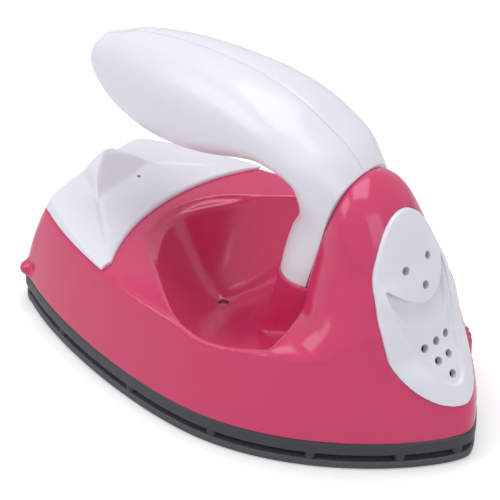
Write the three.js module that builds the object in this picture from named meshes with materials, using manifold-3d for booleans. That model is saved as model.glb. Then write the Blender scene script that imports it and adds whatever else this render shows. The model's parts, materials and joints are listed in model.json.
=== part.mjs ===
// Travel iron: a small dry iron with an open handle, resting on its soleplate.
// Millimetres. X runs to the nose, Y to the iron's left, Z up, and Z = 0 is the ironing face.
import * as THREE from 'three';
import { mergeVertices } from 'three/addons/utils/BufferGeometryUtils.js';
import Module from 'manifold-3d';

const wasm = await Module();
wasm.setup();

// Overall sizes
const ironLength = 130;
const ironWidth = 75;
const handleHeight = 85.5;
const rimHeight = 30;
const hoodHeight = 70.6;
const handleWidth = 24.4;
const halfLength = ironLength / 2;
const halfWidth = ironWidth / 2;

// Clearances, and how far a cut runs past what it cuts
const clearance = 0.3;
const seatGap = 0.15;
const overrun = 1;

// Soleplate and the heat skirt above it
const soleThickness = 2.4;
const soleInset = 0.3;
const soleChamfer = 0.5;
const plateGap = 2.1;
const skirtHeight = 3.6;
const skirtWall = 3.2;
const standoffDiameter = 3;
const standoffInset = 0.2;
const standoffEvery = 3;
const standoffFirst = 1;
const standoffSides = 8;
const skirtBottom = soleThickness + plateGap;
const bodyBottom = skirtBottom + skirtHeight + seatGap;

// Walls of the moulded parts
const bodyWall = 2;
const edgeShare = 8;
const handleWall = 2.4;
const panelProud = 0.5;

// Plan outline of the iron as shares of half its length and half its width: the nose curve, the flank
// curve and the corner curve as cubic control points, and where the rear edge meets the middle
const noseShares = [[1, 0], [1, 0.187], [0.592, 1], [0.046, 1]];
const flankShares = [[0.046, 1], [-0.246, 1], [-0.677, 0.827], [-0.931, 0.573]];
const cornerShares = [[-0.931, 0.573], [-0.975, 0.545], [-0.992, 0.5], [-0.994, 0.4]];
const rearShare = -1;
const noseSteps = 11;
const flankSteps = 7;
const cornerSteps = 3;
const rearSteps = 3;

// Body levels from the skirt to the rim: height as a share of the way up, nose tip, tip fullness,
// shoulder point, half width and rear scale
const bodyLevelShares = [
  [0, 0.996, 0.192, 0.592, 0.997, 0.997, 0.996],
  [0.17, 0.994, 0.208, 0.589, 0.987, 0.987, 0.988],
  [0.35, 0.977, 0.24, 0.585, 0.971, 0.973, 0.975],
  [0.54, 0.945, 0.277, 0.577, 0.949, 0.957, 0.958],
  [0.72, 0.908, 0.325, 0.569, 0.925, 0.939, 0.938],
  [0.86, 0.871, 0.373, 0.562, 0.904, 0.923, 0.92],
  [1, 0.838, 0.427, 0.554, 0.88, 0.904, 0.9],
];

// Nose hood levels above the rim: height as a share of the hood's height, nose tip, tip fullness,
// flank point and half width where the hood meets the handle
const hoodLevelShares = [
  [0.439, 0.831, 0.413, 0.585, 0.747, 0.75],
  [0.456, 0.825, 0.413, 0.585, 0.8, 0.61],
  [0.482, 0.817, 0.413, 0.577, 0.819, 0.493],
  [0.517, 0.806, 0.413, 0.569, 0.8, 0.4],
  [0.574, 0.789, 0.413, 0.554, 0.7, 0.339],
  [0.637, 0.766, 0.4, 0.546, 0.575, 0.325],
  [0.708, 0.729, 0.36, 0.538, 0.463, 0.317],
  [0.779, 0.698, 0.32, 0.531, 0.4, 0.307],
  [0.85, 0.666, 0.253, 0.531, 0.341, 0.285],
  [0.907, 0.631, 0.187, 0.531, 0.293, 0.251],
  [0.949, 0.585, 0.133, 0.523, 0.227, 0.203],
  [0.98, 0.535, 0.08, 0.508, 0.147, 0.128],
  [0.994, 0.495, 0.027, 0.489, 0.043, 0.032],
];

// Seam between handle and hood: a leaning plane, given at two heights, and the flat below it
const seamLowShares = [0.358, 0.581];
const seamHighShares = [0.477, 1];
const hoodRearShare = 0.377;

// Bowl under the handle: height as a share of the rim's, rear end, front end, and five half widths at even
// turns from the rear end round to the front
const bowlLevelShares = [
  [0.35, -0.323, -0.054, 0.173, 0.173, 0.173, 0.173, 0.173],
  [0.393, -0.377, 0.031, 0.253, 0.267, 0.267, 0.293, 0.32],
  [0.5, -0.415, 0.162, 0.32, 0.328, 0.36, 0.453, 0.587],
  [0.667, -0.446, 0.269, 0.36, 0.387, 0.493, 0.667, 0.907],
  [0.833, -0.471, 0.346, 0.413, 0.432, 0.6, 0.853, 1.28],
  [0.92, -0.485, 0.377, 0.469, 0.485, 0.693, 1, 1.6],
  [0.953, -0.508, 0.392, 0.733, 0.675, 0.747, 1.053, 1.733],
  [0.997, -0.543, 0.415, 0.88, 1.051, 0.891, 1.133, 2.533],
  [1.047, -0.577, 0.446, 0.96, 1.147, 0.96, 1.227, 2.667],
];
const bowlSteps = 32;

// Neck that carries the handle's foot: height as a share of the foot's, rear face, half width
const neckLevelShares = [
  [0.264, -0.054, 0.362],
  [0.337, -0.025, 0.358],
  [0.466, 0.033, 0.352],
  [0.622, 0.083, 0.346],
  [0.777, 0.122, 0.341],
  [0.907, 0.145, 0.337],
  [1, 0.155, 0.335],
];

// Handle sections from its free end to its foot: crown and underside points, and half width
const handleSectionShares = [
  [-0.819, 0.832, -0.819, 0.819, 0.12],
  [-0.819, 0.853, -0.817, 0.78, 0.3],
  [-0.79, 0.886, -0.778, 0.732, 0.43],
  [-0.722, 0.913, -0.7, 0.685, 0.55],
  [-0.637, 0.944, -0.603, 0.664, 0.71],
  [-0.508, 0.972, -0.478, 0.655, 0.88],
  [-0.366, 0.991, -0.339, 0.663, 1],
  [-0.215, 1, -0.215, 0.684, 1.07],
  [-0.074, 1, -0.099, 0.715, 1.115],
  [0.062, 0.988, 0.011, 0.748, 1.14],
  [0.192, 0.961, 0.107, 0.768, 1.145],
  [0.309, 0.918, 0.184, 0.766, 1.135],
  [0.406, 0.874, 0.243, 0.743, 1.1],
  [0.482, 0.811, 0.251, 0.689, 1.04],
  [0.539, 0.741, 0.23, 0.636, 0.97],
  [0.55, 0.664, 0.19, 0.582, 0.94],
  [0.521, 0.588, 0.174, 0.541, 0.96],
  [0.484, 0.518, 0.163, 0.5, 1],
  [0.452, 0.455, 0.155, 0.455, 1.03],
];
const footHeight = handleSectionShares[handleSectionShares.length - 1][1] * handleHeight;
const handleRoundShare = 2.3;
const handleSteps = 20;

// Roundness of the neck's plan, and how finely round pieces are drawn
const neckRoundShare = 2.6;
const neckSteps = 20;
const roundSides = 20;
const screwSides = 10;
const wireSides = 6;

// Heel nubs at the rear corners
const nubDiameter = 4.6;
const nubHeight = 4;
const nubShares = [-0.947, 0.545];

// Rear cover: the arc it leaves round the bowl, its wings, and the levels of its raised middle as height
// share, rear end, rear half width, front end and front half width
const coverRise = 10.1;
const coverHeight = rimHeight + coverRise;
const coverTopScaleShare = 0.88;
const coverArcRadius = 52;
const arcSides = 72;
const coverArcShare = -0.538;
const wingRearHeight = 4.8;
const wingFrontHeight = 0.9;
const coverLevelShares = [
  [0, -0.892, 0.27, -0.5, 0.6],
  [0.367, -0.849, 0.187, -0.723, 0.28],
  [0.608, -0.835, 0.149, -0.756, 0.206],
  [0.84, -0.825, 0.1, -0.788, 0.133],
  [0.95, -0.817, 0.06, -0.803, 0.07],
  [1, -0.812, 0.016, -0.809, 0.018],
];
const coverOpeningLedge = 4;
const coverOpeningWidth = 17;
const coverScrewShares = [-0.77, 0.4];
const coverScrewLength = 4.4;
const pinHoleDiameter = 1.4;
const pinHoleShares = [-0.688, 0.105];

// Cord inlet in the cover's rear face
const inletRise = 3.6;
const inletHeight = rimHeight + inletRise;
const inletFaceShare = -0.831;
const inletWall = 1.5;
const inletBore = 3.6;
const bushingNeckDiameter = 5;
const bushingNeckEnd = 0.5;
const bushingFlangeDiameter = 6.4;
const bushingFlangeThickness = 0.8;
const pocketLength = 3.1;

// Vent panel on the nose: its outline as height and half width shares, its seat and its fields
const panelLow = 15.5;
const panelHigh = 64.7;
const panelWidth = 28.4;
const panelEdgeShares = [
  [1, 0], [0.985, 0.12], [0.955, 0.25], [0.92, 0.37], [0.882, 0.5], [0.84, 0.64], [0.75, 0.831],
  [0.67, 0.93], [0.587, 0.986], [0.5, 1], [0.429, 0.995], [0.313, 0.958], [0.232, 0.887],
  [0.165, 0.79], [0.11, 0.67], [0.063, 0.5], [0.025, 0.3], [0.006, 0.15],
];
const panelRearShare = 0.552;
const panelLip = 1.6;
const panelSeat = 0.9;
const panelBack = 2.4;
const fieldBorder = 2.9;
const fieldDepth = 0.8;
const crescentDepth = 2;
const crescentUpperShares = [[-0.78, 0.66], [-0.66, 0.58], [-0.4, 0.525], [0, 0.5]];
const crescentLowerShares = [[-0.81, 0.58], [-0.7, 0.46], [-0.42, 0.365], [0, 0.34]];
const crescentSteps = 10;
const ventDiameter = 2.2;
const ventLean = 24;
const ventShares = [
  [0.715, 0.3, 0.715], [0.715, -0.3, 0.715], [0.772, 0, 0.647],
  [0.818, 0.3, 0.433], [0.818, 0, 0.433], [0.818, -0.3, 0.433],
  [0.863, 0.15, 0.381], [0.863, -0.15, 0.381], [0.911, 0, 0.336],
];

// Handle halves, their cross screws and the foot screws
const handleTongue = 5;
const tongueLowShare = 0.6;
const tongueHighShare = 0.92;
const bossDiameter = 6.4;
const screwDiameter = 2.4;
const screwHeadDiameter = 4.4;
const screwHeadHeight = 1.6;
const screwLength = 9;
const screwSeat = 4.6;
const handleBossShares = [[-0.5, 0.81], [0.06, 0.865], [0.3, 0.66]];
const footScrewShares = [0.28, 0.17];
const footBossHeight = 8;
const footScrewLength = 7;

// Bowl screw and the soleplate post it holds
const bowlScrewShare = -0.207;
const bowlScrewHead = 2.9;
const bowlScrewHeadHeight = 1;
const bowlScrewShank = 1.8;
const bowlScrewLength = 5.5;
const bowlScrewSink = 1.2;
const postDiameter = 7;

// Temperature wheel at the left of the nose, on the thermostat's spindle
const wheelDiameter = 24.8;
const wheelThickness = 6;
const wheelRibs = 34;
const wheelRibDepth = 0.6;
const wheelRibShares = [[0, 0], [0.5, 0], [0.62, 1], [0.88, 1]];
const wheelGap = 0.7;
const wheelShares = [0.655, 0.243];
const wheelHub = 9;
const wheelWeb = 2.4;
const wheelRim = 3.4;
const spindleDiameter = 4;
const collarDiameter = 7;
const collarHeight = 2.65;
const thermostatSide = 10;
const thermostatHeight = 5.4;
const thermostatPad = 2;
const bracketLength = 22;
const bracketReach = 6.5;
const bracketWidth = 8;
const bracketThickness = 0.8;
const bridgeThickness = 1;
const spindleDepth = 3;
const spindleSink = 0.4;
const bladeLength = 14;
const bladeWidth = 3.6;
const bladeThickness = 0.4;
const bladeShares = [0.5, 0.82];
const bladeDepth = 2.2;
const padScrewDiameter = 2;
const padScrewHead = 3.6;
const padScrewHeadHeight = 1.2;
const padScrewLength = 3;
const padScrewNear = 8.5;
const padScrewFar = 13;

// Heating element, its pins, the sheets over it
const elementDiameter = 4.6;
const elementShares = [
  [-0.62, 0.24], [-0.56, 0.24], [-0.44, 0.3], [-0.26, 0.47], [0, 0.54], [0.25, 0.44], [0.42, 0.24], [0.47, 0],
];
const elementPitch = 4.5;
const pinDiameter = 2;
const pinLength = 6;
const micaThickness = 0.4;
const shieldThickness = 0.4;
const sheetInset = 5;
const sheetHole = 8.2;
const sheetRearShare = -0.48;
const sheetFrontShare = 0.3;

// Thermal fuse in its sleeve
const fuseDiameter = 3;
const fuseLength = 10;
const sleeveWall = 0.35;
const sleeveLength = 14;
const fuseLead = 0.9;
const fuseLeadLength = 3.5;

// Terminal block on the shelf behind the bowl
const shelfHeight = 15;
const shelfThickness = 1.6;
const shelfWidth = 24;
const blockLength = 9;
const blockWidth = 18;
const blockHeight = 7.5;
const blockShare = -0.69;
const blockBore = 2.6;
const blockPitch = 5.4;
const terminalHead = 2.6;
const terminalHeadHeight = 1.4;
const terminalSink = 1;

// Lamps behind the upper vents
const lampDiameter = 2.8;
const lampLength = 4;
const lampPostDiameter = 2.4;
const lampPostPitch = 6;
const lampGap = 1.1;
const boardLength = 9;
const boardWidth = 13;
const boardThickness = 1.2;

// Inner wiring
const supplyWire = 1.4;
const leadWire = 1.4;
const wirePitch = 3.2;
const wireEntry = 2;
const wireBend = 3;

// A closed body through rings of points that run anticlockwise seen from the last ring
function loft(rings) {
  const steps = rings[0].length;
  const positions = [];
  const faces = [];
  for (const ring of rings) {
    for (const point of ring) {
      positions.push(point.x, point.y, point.z);
    }
  }
  for (let level = 0; level + 1 < rings.length; level += 1) {
    for (let step = 0; step < steps; step += 1) {
      const next = (step + 1) % steps;
      const low = level * steps;
      const high = low + steps;
      faces.push(low + step, low + next, high + next);
      faces.push(low + step, high + next, high + step);
    }
  }
  const first = middle(rings[0]);
  const last = middle(rings[rings.length - 1]);
  const firstIndex = rings.length * steps;
  const top = (rings.length - 1) * steps;
  positions.push(first.x, first.y, first.z, last.x, last.y, last.z);
  for (let step = 0; step < steps; step += 1) {
    const next = (step + 1) % steps;
    faces.push(firstIndex, next, step);
    faces.push(firstIndex + 1, top + step, top + next);
  }
  const geometry = new THREE.BufferGeometry();
  geometry.setAttribute('position', new THREE.Float32BufferAttribute(positions, 3));
  geometry.setIndex(faces);
  return geometry;
}

function middle(ring) {
  const sum = ring.reduce((total, point) => total.add(point), new THREE.Vector3());
  return sum.divideScalar(ring.length);
}

// Solids for joining and cutting
function solid(geometry) {
  const plain = geometry.clone();
  plain.deleteAttribute('normal');
  plain.deleteAttribute('uv');
  const merged = mergeVertices(plain, 1e-4);
  return new wasm.Manifold(new wasm.Mesh({
    numProp: 3,
    vertProperties: new Float32Array(merged.attributes.position.array),
    triVerts: new Uint32Array(merged.index.array),
  }));
}

function surface(body) {
  const mesh = body.getMesh();
  const geometry = new THREE.BufferGeometry();
  geometry.setAttribute('position', new THREE.Float32BufferAttribute(mesh.vertProperties, 3));
  geometry.setIndex(Array.from(mesh.triVerts));
  return geometry;
}

// Mirrors half an outline, which runs from the nose to the middle of the rear, into a ring at a height
function ringFromHalf(half, height) {
  const left = half.map(([x, y]) => new THREE.Vector3(x, y, height));
  const right = half.slice(1, -1).reverse().map(([x, y]) => new THREE.Vector3(x, -y, height));
  return left.concat(right);
}

function curvePoints(points, steps) {
  const [start, first, second, end] = points.map(([x, y]) => new THREE.Vector2(x, y));
  const curve = new THREE.CubicBezierCurve(start, first, second, end);
  return curve.getPoints(steps).map((point) => [point.x, point.y]);
}

// Half outline of one body level, drawn in by a wall
function bodyHalf([, tip, fullness, shoulderX, shoulderY, width, rear], wall) {
  const along = (share) => share * (halfLength - wall);
  const across = (share) => share * (halfWidth - wall);
  const waist = noseShares[3][0];
  const stretch = (rear + waist) / (waist - rearShare);
  const behind = ([x, y]) => [along(waist + (x - waist) * stretch), across(y * width)];
  const nose = curvePoints([
    [along(tip), 0],
    [along(tip), across(fullness)],
    [along(shoulderX), across(shoulderY)],
    [along(waist), across(width)],
  ], noseSteps);
  const flank = curvePoints(flankShares.map(behind), flankSteps).slice(1);
  const corner = curvePoints(cornerShares.map(behind), cornerSteps).slice(1);
  const [cornerX, cornerY] = corner[corner.length - 1];
  const rearX = behind([rearShare, 0])[0];
  const edge = [];
  for (let step = 1; step <= rearSteps; step += 1) {
    const share = step / rearSteps;
    edge.push([cornerX + (rearX - cornerX) * share, cornerY * (1 - share)]);
  }
  return nose.concat(flank, corner, edge);
}

// Where the hood's rear face stands at a height
function seamX(height) {
  const [lowX, lowZ] = [seamLowShares[0] * halfLength, seamLowShares[1] * hoodHeight];
  const [highX, highZ] = [seamHighShares[0] * halfLength, seamHighShares[1] * hoodHeight];
  if (height < footHeight) {
    return hoodRearShare * halfLength;
  }
  return lowX + (highX - lowX) * (height - lowZ) / (highZ - lowZ);
}

// Half outline of one hood level; the rest of the ring folds onto its rear face
function hoodHalf([, tip, fullness, flankX, flankY, width], rearX, wall) {
  const tipX = tip * halfLength - wall;
  const rearY = Math.max(width * halfWidth - wall, wall / edgeShare);
  const nose = curvePoints([
    [tipX, 0],
    [tipX, Math.max(fullness * halfWidth - wall, wall / edgeShare)],
    [flankX * halfLength - wall, Math.max(flankY * halfWidth - wall, wall / edgeShare)],
    [rearX, rearY],
  ], noseSteps);
  const rest = flankSteps + cornerSteps + rearSteps;
  for (let step = 1; step <= rest; step += 1) {
    nose.push([rearX, rearY * (1 - step / rest)]);
  }
  return nose;
}

// The body's outer form, or the form of the space inside it when a wall is given
function bodyForm(wall, rearX, top) {
  const deck = rimHeight - wall;
  const rings = bodyLevelShares.map((level) => {
    const height = bodyBottom + level[0] * (deck - bodyBottom);
    return ringFromHalf(bodyHalf(level, wall), height);
  });
  for (const level of hoodLevelShares) {
    const height = level[0] * (top - wall);
    rings.push(ringFromHalf(hoodHalf(level, rearX(height), wall), height));
  }
  return rings;
}

// A superellipse ring in plan, with its own ends and half width
function roundRing(rearX, frontX, width, power, height, steps) {
  const centre = (rearX + frontX) / 2;
  const reach = (frontX - rearX) / 2;
  const ring = [];
  for (let step = 0; step < steps; step += 1) {
    const angle = 2 * Math.PI * step / steps;
    const along = Math.sign(Math.cos(angle)) * Math.abs(Math.cos(angle)) ** (2 / power);
    const across = Math.sign(Math.sin(angle)) * Math.abs(Math.sin(angle)) ** (2 / power);
    ring.push(new THREE.Vector3(centre + reach * along, width * across, height));
  }
  return ring;
}

// The bowl's form; a wall makes it larger all round
function bowlForm(wall) {
  return solid(loft(bowlLevelShares.map(([height, rearShare, frontShare, ...widthShares]) => {
    const rear = rearShare * halfLength - wall;
    const front = frontShare * halfLength + wall;
    const widths = new THREE.SplineCurve(widthShares.map((share) => new THREE.Vector2(0, share)));
    const ring = [];
    for (let step = 0; step < bowlSteps; step += 1) {
      const angle = 2 * Math.PI * step / bowlSteps;
      const fromRear = Math.abs(Math.PI - angle) / Math.PI;
      const width = widths.getPoint(fromRear).y * halfWidth + wall;
      const x = (rear + front) / 2 + (front - rear) / 2 * Math.cos(angle);
      ring.push(new THREE.Vector3(x, width * Math.sin(angle), height * rimHeight - wall));
    }
    return ring;
  })));
}

// The neck's form under the handle's foot; a wall makes it smaller all round
function neckForm(wall, drop) {
  const front = hoodRearShare * halfLength + 2 * bodyWall;
  const rings = neckLevelShares.map(([height, rear, width]) => roundRing(
    rear * halfLength + wall,
    front,
    width * halfWidth - wall,
    neckRoundShare,
    height * footHeight - wall - seatGap,
    neckSteps,
  ));
  const foot = rings[0].map((point) => point.clone().setZ(point.z - drop));
  return solid(loft([foot, ...rings]));
}

// Handle sections; a wall draws them in
function handleForm(wall) {
  const rings = handleSectionShares.map(([crownX, crownZ, underX, underZ, width]) => {
    const crown = new THREE.Vector3(crownX * halfLength, 0, crownZ * handleHeight);
    const under = new THREE.Vector3(underX * halfLength, 0, underZ * handleHeight);
    const centre = crown.clone().add(under).divideScalar(2);
    const up = crown.clone().sub(centre);
    up.setLength(Math.max(up.length() - wall, clearance));
    const reach = Math.max(width * handleWidth / 2 - wall, clearance);
    const ring = [];
    for (let step = 0; step < handleSteps; step += 1) {
      const angle = 2 * Math.PI * step / handleSteps;
      const across = Math.sign(Math.cos(angle)) * Math.abs(Math.cos(angle)) ** (2 / handleRoundShare);
      const rise = Math.sign(Math.sin(angle)) * Math.abs(Math.sin(angle)) ** (2 / handleRoundShare);
      ring.push(centre.clone().addScaledVector(up, rise).setY(reach * across));
    }
    return ring;
  });
  return solid(loft(wall > 0 ? rings.slice(2, -1) : rings));
}

// Plain solids, placed by their middle
function block(length, width, height, x, y, z) {
  return solid(new THREE.BoxGeometry(length, width, height).translate(x, y, z));
}

function rodAlong(axis, diameter, length, at, sides = roundSides) {
  const geometry = new THREE.CylinderGeometry(diameter / 2, diameter / 2, length, sides);
  const turn = new THREE.Quaternion().setFromUnitVectors(new THREE.Vector3(0, 1, 0), axis);
  return solid(geometry.applyQuaternion(turn).translate(at.x, at.y, at.z));
}

// A slab of an outline drawn in the X-Z plane, centred on Y = 0
function profileSlab(points, width) {
  const shape = new THREE.Shape(points.map(([x, z]) => new THREE.Vector2(x, z)));
  const geometry = new THREE.ExtrudeGeometry(shape, { depth: width, bevelEnabled: false, steps: 1 });
  geometry.translate(0, 0, -width / 2).rotateX(Math.PI / 2);
  return solid(geometry);
}

// A bar of an outline drawn in the Y-Z plane, running along X
function frontBar(points, startX, endX) {
  const shape = new THREE.Shape(points.map(([y, z]) => new THREE.Vector2(y, z)));
  const geometry = new THREE.ExtrudeGeometry(shape, { depth: endX - startX, bevelEnabled: false, steps: 1 });
  geometry.rotateX(Math.PI / 2).rotateZ(Math.PI / 2).translate(startX, 0, 0);
  return solid(geometry);
}

// A bent round wire or tube through points, drawn in steps of about one pitch
function tube(points, diameter, sides, pitch) {
  const path = new THREE.CatmullRomCurve3(points.map(([x, y, z]) => new THREE.Vector3(x, y, z)));
  const steps = Math.ceil(path.getLength() / pitch);
  const section = new THREE.Shape();
  for (let side = 0; side < sides; side += 1) {
    const angle = 2 * Math.PI * side / sides;
    const x = Math.cos(angle) * diameter / 2;
    const y = Math.sin(angle) * diameter / 2;
    if (side === 0) {
      section.moveTo(x, y);
    } else {
      section.lineTo(x, y);
    }
  }
  return new THREE.ExtrudeGeometry(section, { steps, bevelEnabled: false, extrudePath: path });
}

const up = new THREE.Vector3(0, 0, 1);
const left = new THREE.Vector3(0, 1, 0);
const front = new THREE.Vector3(1, 0, 0);
const whole = 2 * ironLength;

// A pan-head screw whose head's underside sits on the origin and whose shank runs down
function screw(headDiameter, headHeight, shankDiameter, length) {
  return new THREE.LatheGeometry([
    new THREE.Vector2(0, -length),
    new THREE.Vector2(shankDiameter / 2, -length),
    new THREE.Vector2(shankDiameter / 2, 0),
    new THREE.Vector2(headDiameter / 2, 0),
    new THREE.Vector2(headDiameter / 2, headHeight),
    new THREE.Vector2(0, headHeight),
  ], screwSides).rotateX(Math.PI / 2);
}

// Materials
function finish(color, roughness, metalness = 0) {
  return new THREE.MeshStandardMaterial({ color, roughness, metalness });
}
const pinkShell = finish(0xc93a66, 0.28);
const pinkWheel = finish(0xc2406c, 0.4);
const whiteShell = finish(0xf0eff5, 0.3);
const darkSkirt = finish(0x3b3d44, 0.55);
const coatedPlate = finish(0x4d4c52, 0.5, 0.4);
const steel = finish(0xb9babd, 0.35, 0.9);
const sheath = finish(0x8a8783, 0.5, 0.8);
const ceramic = finish(0xe9e3d4, 0.6);
const brass = finish(0xc9a34e, 0.35, 0.9);
const mica = finish(0xc8b68c, 0.6);
const darkRubber = finish(0x222226, 0.75);
const sleeveGlass = finish(0xe8e4da, 0.8);
const fuseCase = finish(0xd9d2bf, 0.5);
const boardGreen = finish(0x2f6b46, 0.5);
const lampRed = finish(0xd03a30, 0.2);
const lampGreen = finish(0x3fae58, 0.2);
const wireBrown = finish(0x6b4128, 0.6);
const wireBlue = finish(0x2f5fa8, 0.6);
const wireWhite = finish(0xe4e2dc, 0.6);

const group = new THREE.Group();
function add(name, geometry, material) {
  const mesh = new THREE.Mesh(geometry, material);
  mesh.name = name;
  group.add(mesh);
  return mesh;
}

// Soleplate: bevelled plate, the post for the bowl screw and the thermostat's pad
const baseShares = [0, 1, noseShares[1][1], noseShares[2][0], 1, 1, 1];
const soleRings = [
  ringFromHalf(bodyHalf(baseShares, soleInset + soleChamfer), 0),
  ringFromHalf(bodyHalf(baseShares, soleInset), soleChamfer),
  ringFromHalf(bodyHalf(baseShares, soleInset), soleThickness),
];
const wheelX = wheelShares[0] * halfLength;
const wheelY = wheelShares[1] * halfWidth;
const bowlScrewX = bowlScrewShare * halfLength;
const bowlFloor = bowlLevelShares[0][0] * rimHeight;
const postTop = bowlFloor - bodyWall - seatGap;
const post = rodAlong(up, postDiameter, postTop, new THREE.Vector3(bowlScrewX, 0, postTop / 2));
const padTop = soleThickness + thermostatPad;
const bracketY = wheelY + bracketReach - bracketLength / 2;
const padMiddle = (padTop + soleChamfer) / 2;
const pad = block(bracketWidth, bracketLength, padTop - soleChamfer, wheelX, bracketY, padMiddle);
const screwSpots = [wheelY - padScrewNear, wheelY - padScrewFar];
let sole = solid(loft(soleRings)).add(post).add(pad);
const bowlScrewSeat = bowlFloor - bowlScrewSink;
const shankTip = bowlScrewSeat - bowlScrewLength - clearance;
sole = sole.subtract(rodAlong(
  up,
  bowlScrewShank + clearance,
  postTop + overrun - shankTip,
  new THREE.Vector3(bowlScrewX, 0, (postTop + overrun + shankTip) / 2),
  screwSides,
));
for (const y of screwSpots) {
  const depth = padScrewLength + clearance - bracketThickness;
  const at = new THREE.Vector3(wheelX, y, padTop - depth / 2 + overrun / 2);
  sole = sole.subtract(rodAlong(up, padScrewDiameter + clearance, depth + overrun, at, screwSides));
}
add('soleplate', surface(sole), coatedPlate);

// Heat skirt: a ring with short standoffs that leave an air gap over the soleplate
const skirtTop = skirtBottom + skirtHeight;
function outlineBlock(inset, bottom, top) {
  return solid(loft([
    ringFromHalf(bodyHalf(baseShares, inset), bottom),
    ringFromHalf(bodyHalf(baseShares, inset), top),
  ]));
}
let skirt = outlineBlock(0, skirtBottom, skirtTop)
  .subtract(outlineBlock(skirtWall, skirtBottom - overrun, skirtTop + overrun));
const standoffHalf = bodyHalf(baseShares, skirtWall / 2 + standoffInset);
const standoffLength = skirtHeight + plateGap - seatGap;
standoffHalf.forEach(([x, y], step) => {
  if (step % standoffEvery !== standoffFirst) {
    return;
  }
  for (const side of [y, -y]) {
    const at = new THREE.Vector3(x, side, skirtTop - standoffLength / 2);
    skirt = skirt.add(rodAlong(up, standoffDiameter, standoffLength, at, standoffSides));
  }
});
add('heat_skirt', surface(skirt), darkSkirt);

// Body shell: side walls, bowl, nose hood and the neck under the handle's foot
const hoodRear = hoodRearShare * halfLength;
const behind = (x, bottom) => block(whole, whole, whole, x - whole / 2, 0, bottom + whole / 2);
const overDeck = (x, deck) => behind(x, deck).subtract(behind(x, footHeight));
const outerForm = solid(loft(bodyForm(0, seamX, hoodHeight))).subtract(overDeck(hoodRear, rimHeight));
const bowlCut = bowlForm(0).intersect(behind(hoodRear, 0));
const innerRear = (height) => {
  const openRear = seamX(height) - overrun;
  return height < footHeight ? hoodRearShare * halfLength + bodyWall : openRear;
};
const innerX = hoodRear + bodyWall;
const innerForm = solid(loft(bodyForm(bodyWall, innerRear, hoodHeight)))
  .subtract(overDeck(innerX, rimHeight - bodyWall));
const bowlOuter = bowlForm(bodyWall).intersect(behind(innerX, 0));
const underside = outlineBlock(skirtWall, 0, bodyBottom + overrun);
const blockX = blockShare * halfLength;
const shelf = block(
  halfLength,
  shelfWidth,
  shelfThickness,
  blockX + blockLength / 2 - halfLength / 2,
  0,
  shelfHeight + shelfThickness / 2,
);
const hollow = innerForm.subtract(bowlOuter).subtract(shelf)
  .add(neckForm(bodyWall, footHeight / 4))
  .add(underside.intersect(innerForm));
const nub = new THREE.SphereGeometry(nubDiameter / 2, roundSides, screwSides);
nub.rotateX(Math.PI / 2).scale(1, 1, nubHeight / nubDiameter);
const nubX = nubShares[0] * halfLength;
const nubY = nubShares[1] * halfWidth;
const nubZ = bodyBottom + nubHeight / 2;
let shell = outerForm.subtract(bowlCut).add(neckForm(0, 0));
for (const y of [nubY, -nubY]) {
  shell = shell.add(solid(nub.clone().translate(nubX, y, nubZ)));
}
shell = shell.subtract(hollow);

// Rear cover: leaning block cut by the bowl's arc, thin wings and a raised middle
const rimLevel = bodyLevelShares[bodyLevelShares.length - 1];
const coverBottom = rimHeight + seatGap;
function coverBlock(inset) {
  const low = ringFromHalf(bodyHalf(rimLevel, inset), coverBottom);
  const high = ringFromHalf(bodyHalf(rimLevel, inset), coverHeight + overrun);
  for (const point of high) {
    point.x *= coverTopScaleShare;
    point.y *= coverTopScaleShare;
  }
  return solid(loft([low, high]));
}
const arcX = coverArcShare * halfLength + coverArcRadius;
function arcRod(radius) {
  return rodAlong(up, 2 * radius, whole, new THREE.Vector3(arcX, 0, coverBottom), arcSides);
}
function trapezoid([height, rear, rearWidth, frontX, frontWidth]) {
  const z = coverBottom + height * (coverHeight - coverBottom);
  const [rearX, rearY] = [rear * halfLength, rearWidth * halfWidth];
  const [frontEnd, frontY] = [frontX * halfLength, frontWidth * halfWidth];
  return [
    new THREE.Vector3(rearX, -rearY, z),
    new THREE.Vector3(frontEnd, -frontY, z),
    new THREE.Vector3(frontEnd, frontY, z),
    new THREE.Vector3(rearX, rearY, z),
  ];
}
const wingFront = -coverArcRadius / 2;
const wings = profileSlab([
  [-whole, coverBottom],
  [whole, coverBottom],
  [wingFront, rimHeight + wingFrontHeight],
  [rimLevel[6] * -halfLength, rimHeight + wingRearHeight],
  [-whole, rimHeight + wingRearHeight],
], whole);
const hump = solid(loft(coverLevelShares.map(trapezoid)));
const inletX = inletFaceShare * halfLength;
const inletInner = inletX + inletWall;
const inletAt = (start, end) => new THREE.Vector3((start + end) / 2, 0, inletHeight);
const padDiameter = bushingFlangeDiameter + 2 * clearance;
const neckHole = bushingNeckDiameter + 2 * seatGap;
let cover = wings.add(hump).intersect(coverBlock(0)).intersect(behind(arcX, 0));
cover = cover.subtract(arcRod(coverArcRadius));
cover = cover.subtract(rodAlong(front, padDiameter, halfLength, inletAt(inletX, inletX - halfLength)));
cover = cover.subtract(rodAlong(front, neckHole, inletWall + 2 * overrun, inletAt(inletX, inletInner)));
const pocketTop = inletHeight + supplyWire / 2 + clearance;
const pocketX = inletInner + pocketLength / 2;
const pocketHeight = 2 * (pocketTop - coverBottom);
cover = cover.subtract(block(pocketLength, neckHole, pocketHeight, pocketX, 0, coverBottom));
const pinAt = new THREE.Vector3(pinHoleShares[0] * halfLength, pinHoleShares[1] * halfWidth, coverHeight);
cover = cover.subtract(rodAlong(up, pinHoleDiameter, 2 * coverRise, pinAt, screwSides));
const coverScrewX = coverScrewShares[0] * halfLength;
const coverScrewY = coverScrewShares[1] * halfWidth;
const coverScrewHole = screwDiameter + clearance;
const coverScrewReach = coverScrewLength - bodyWall + clearance;
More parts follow.
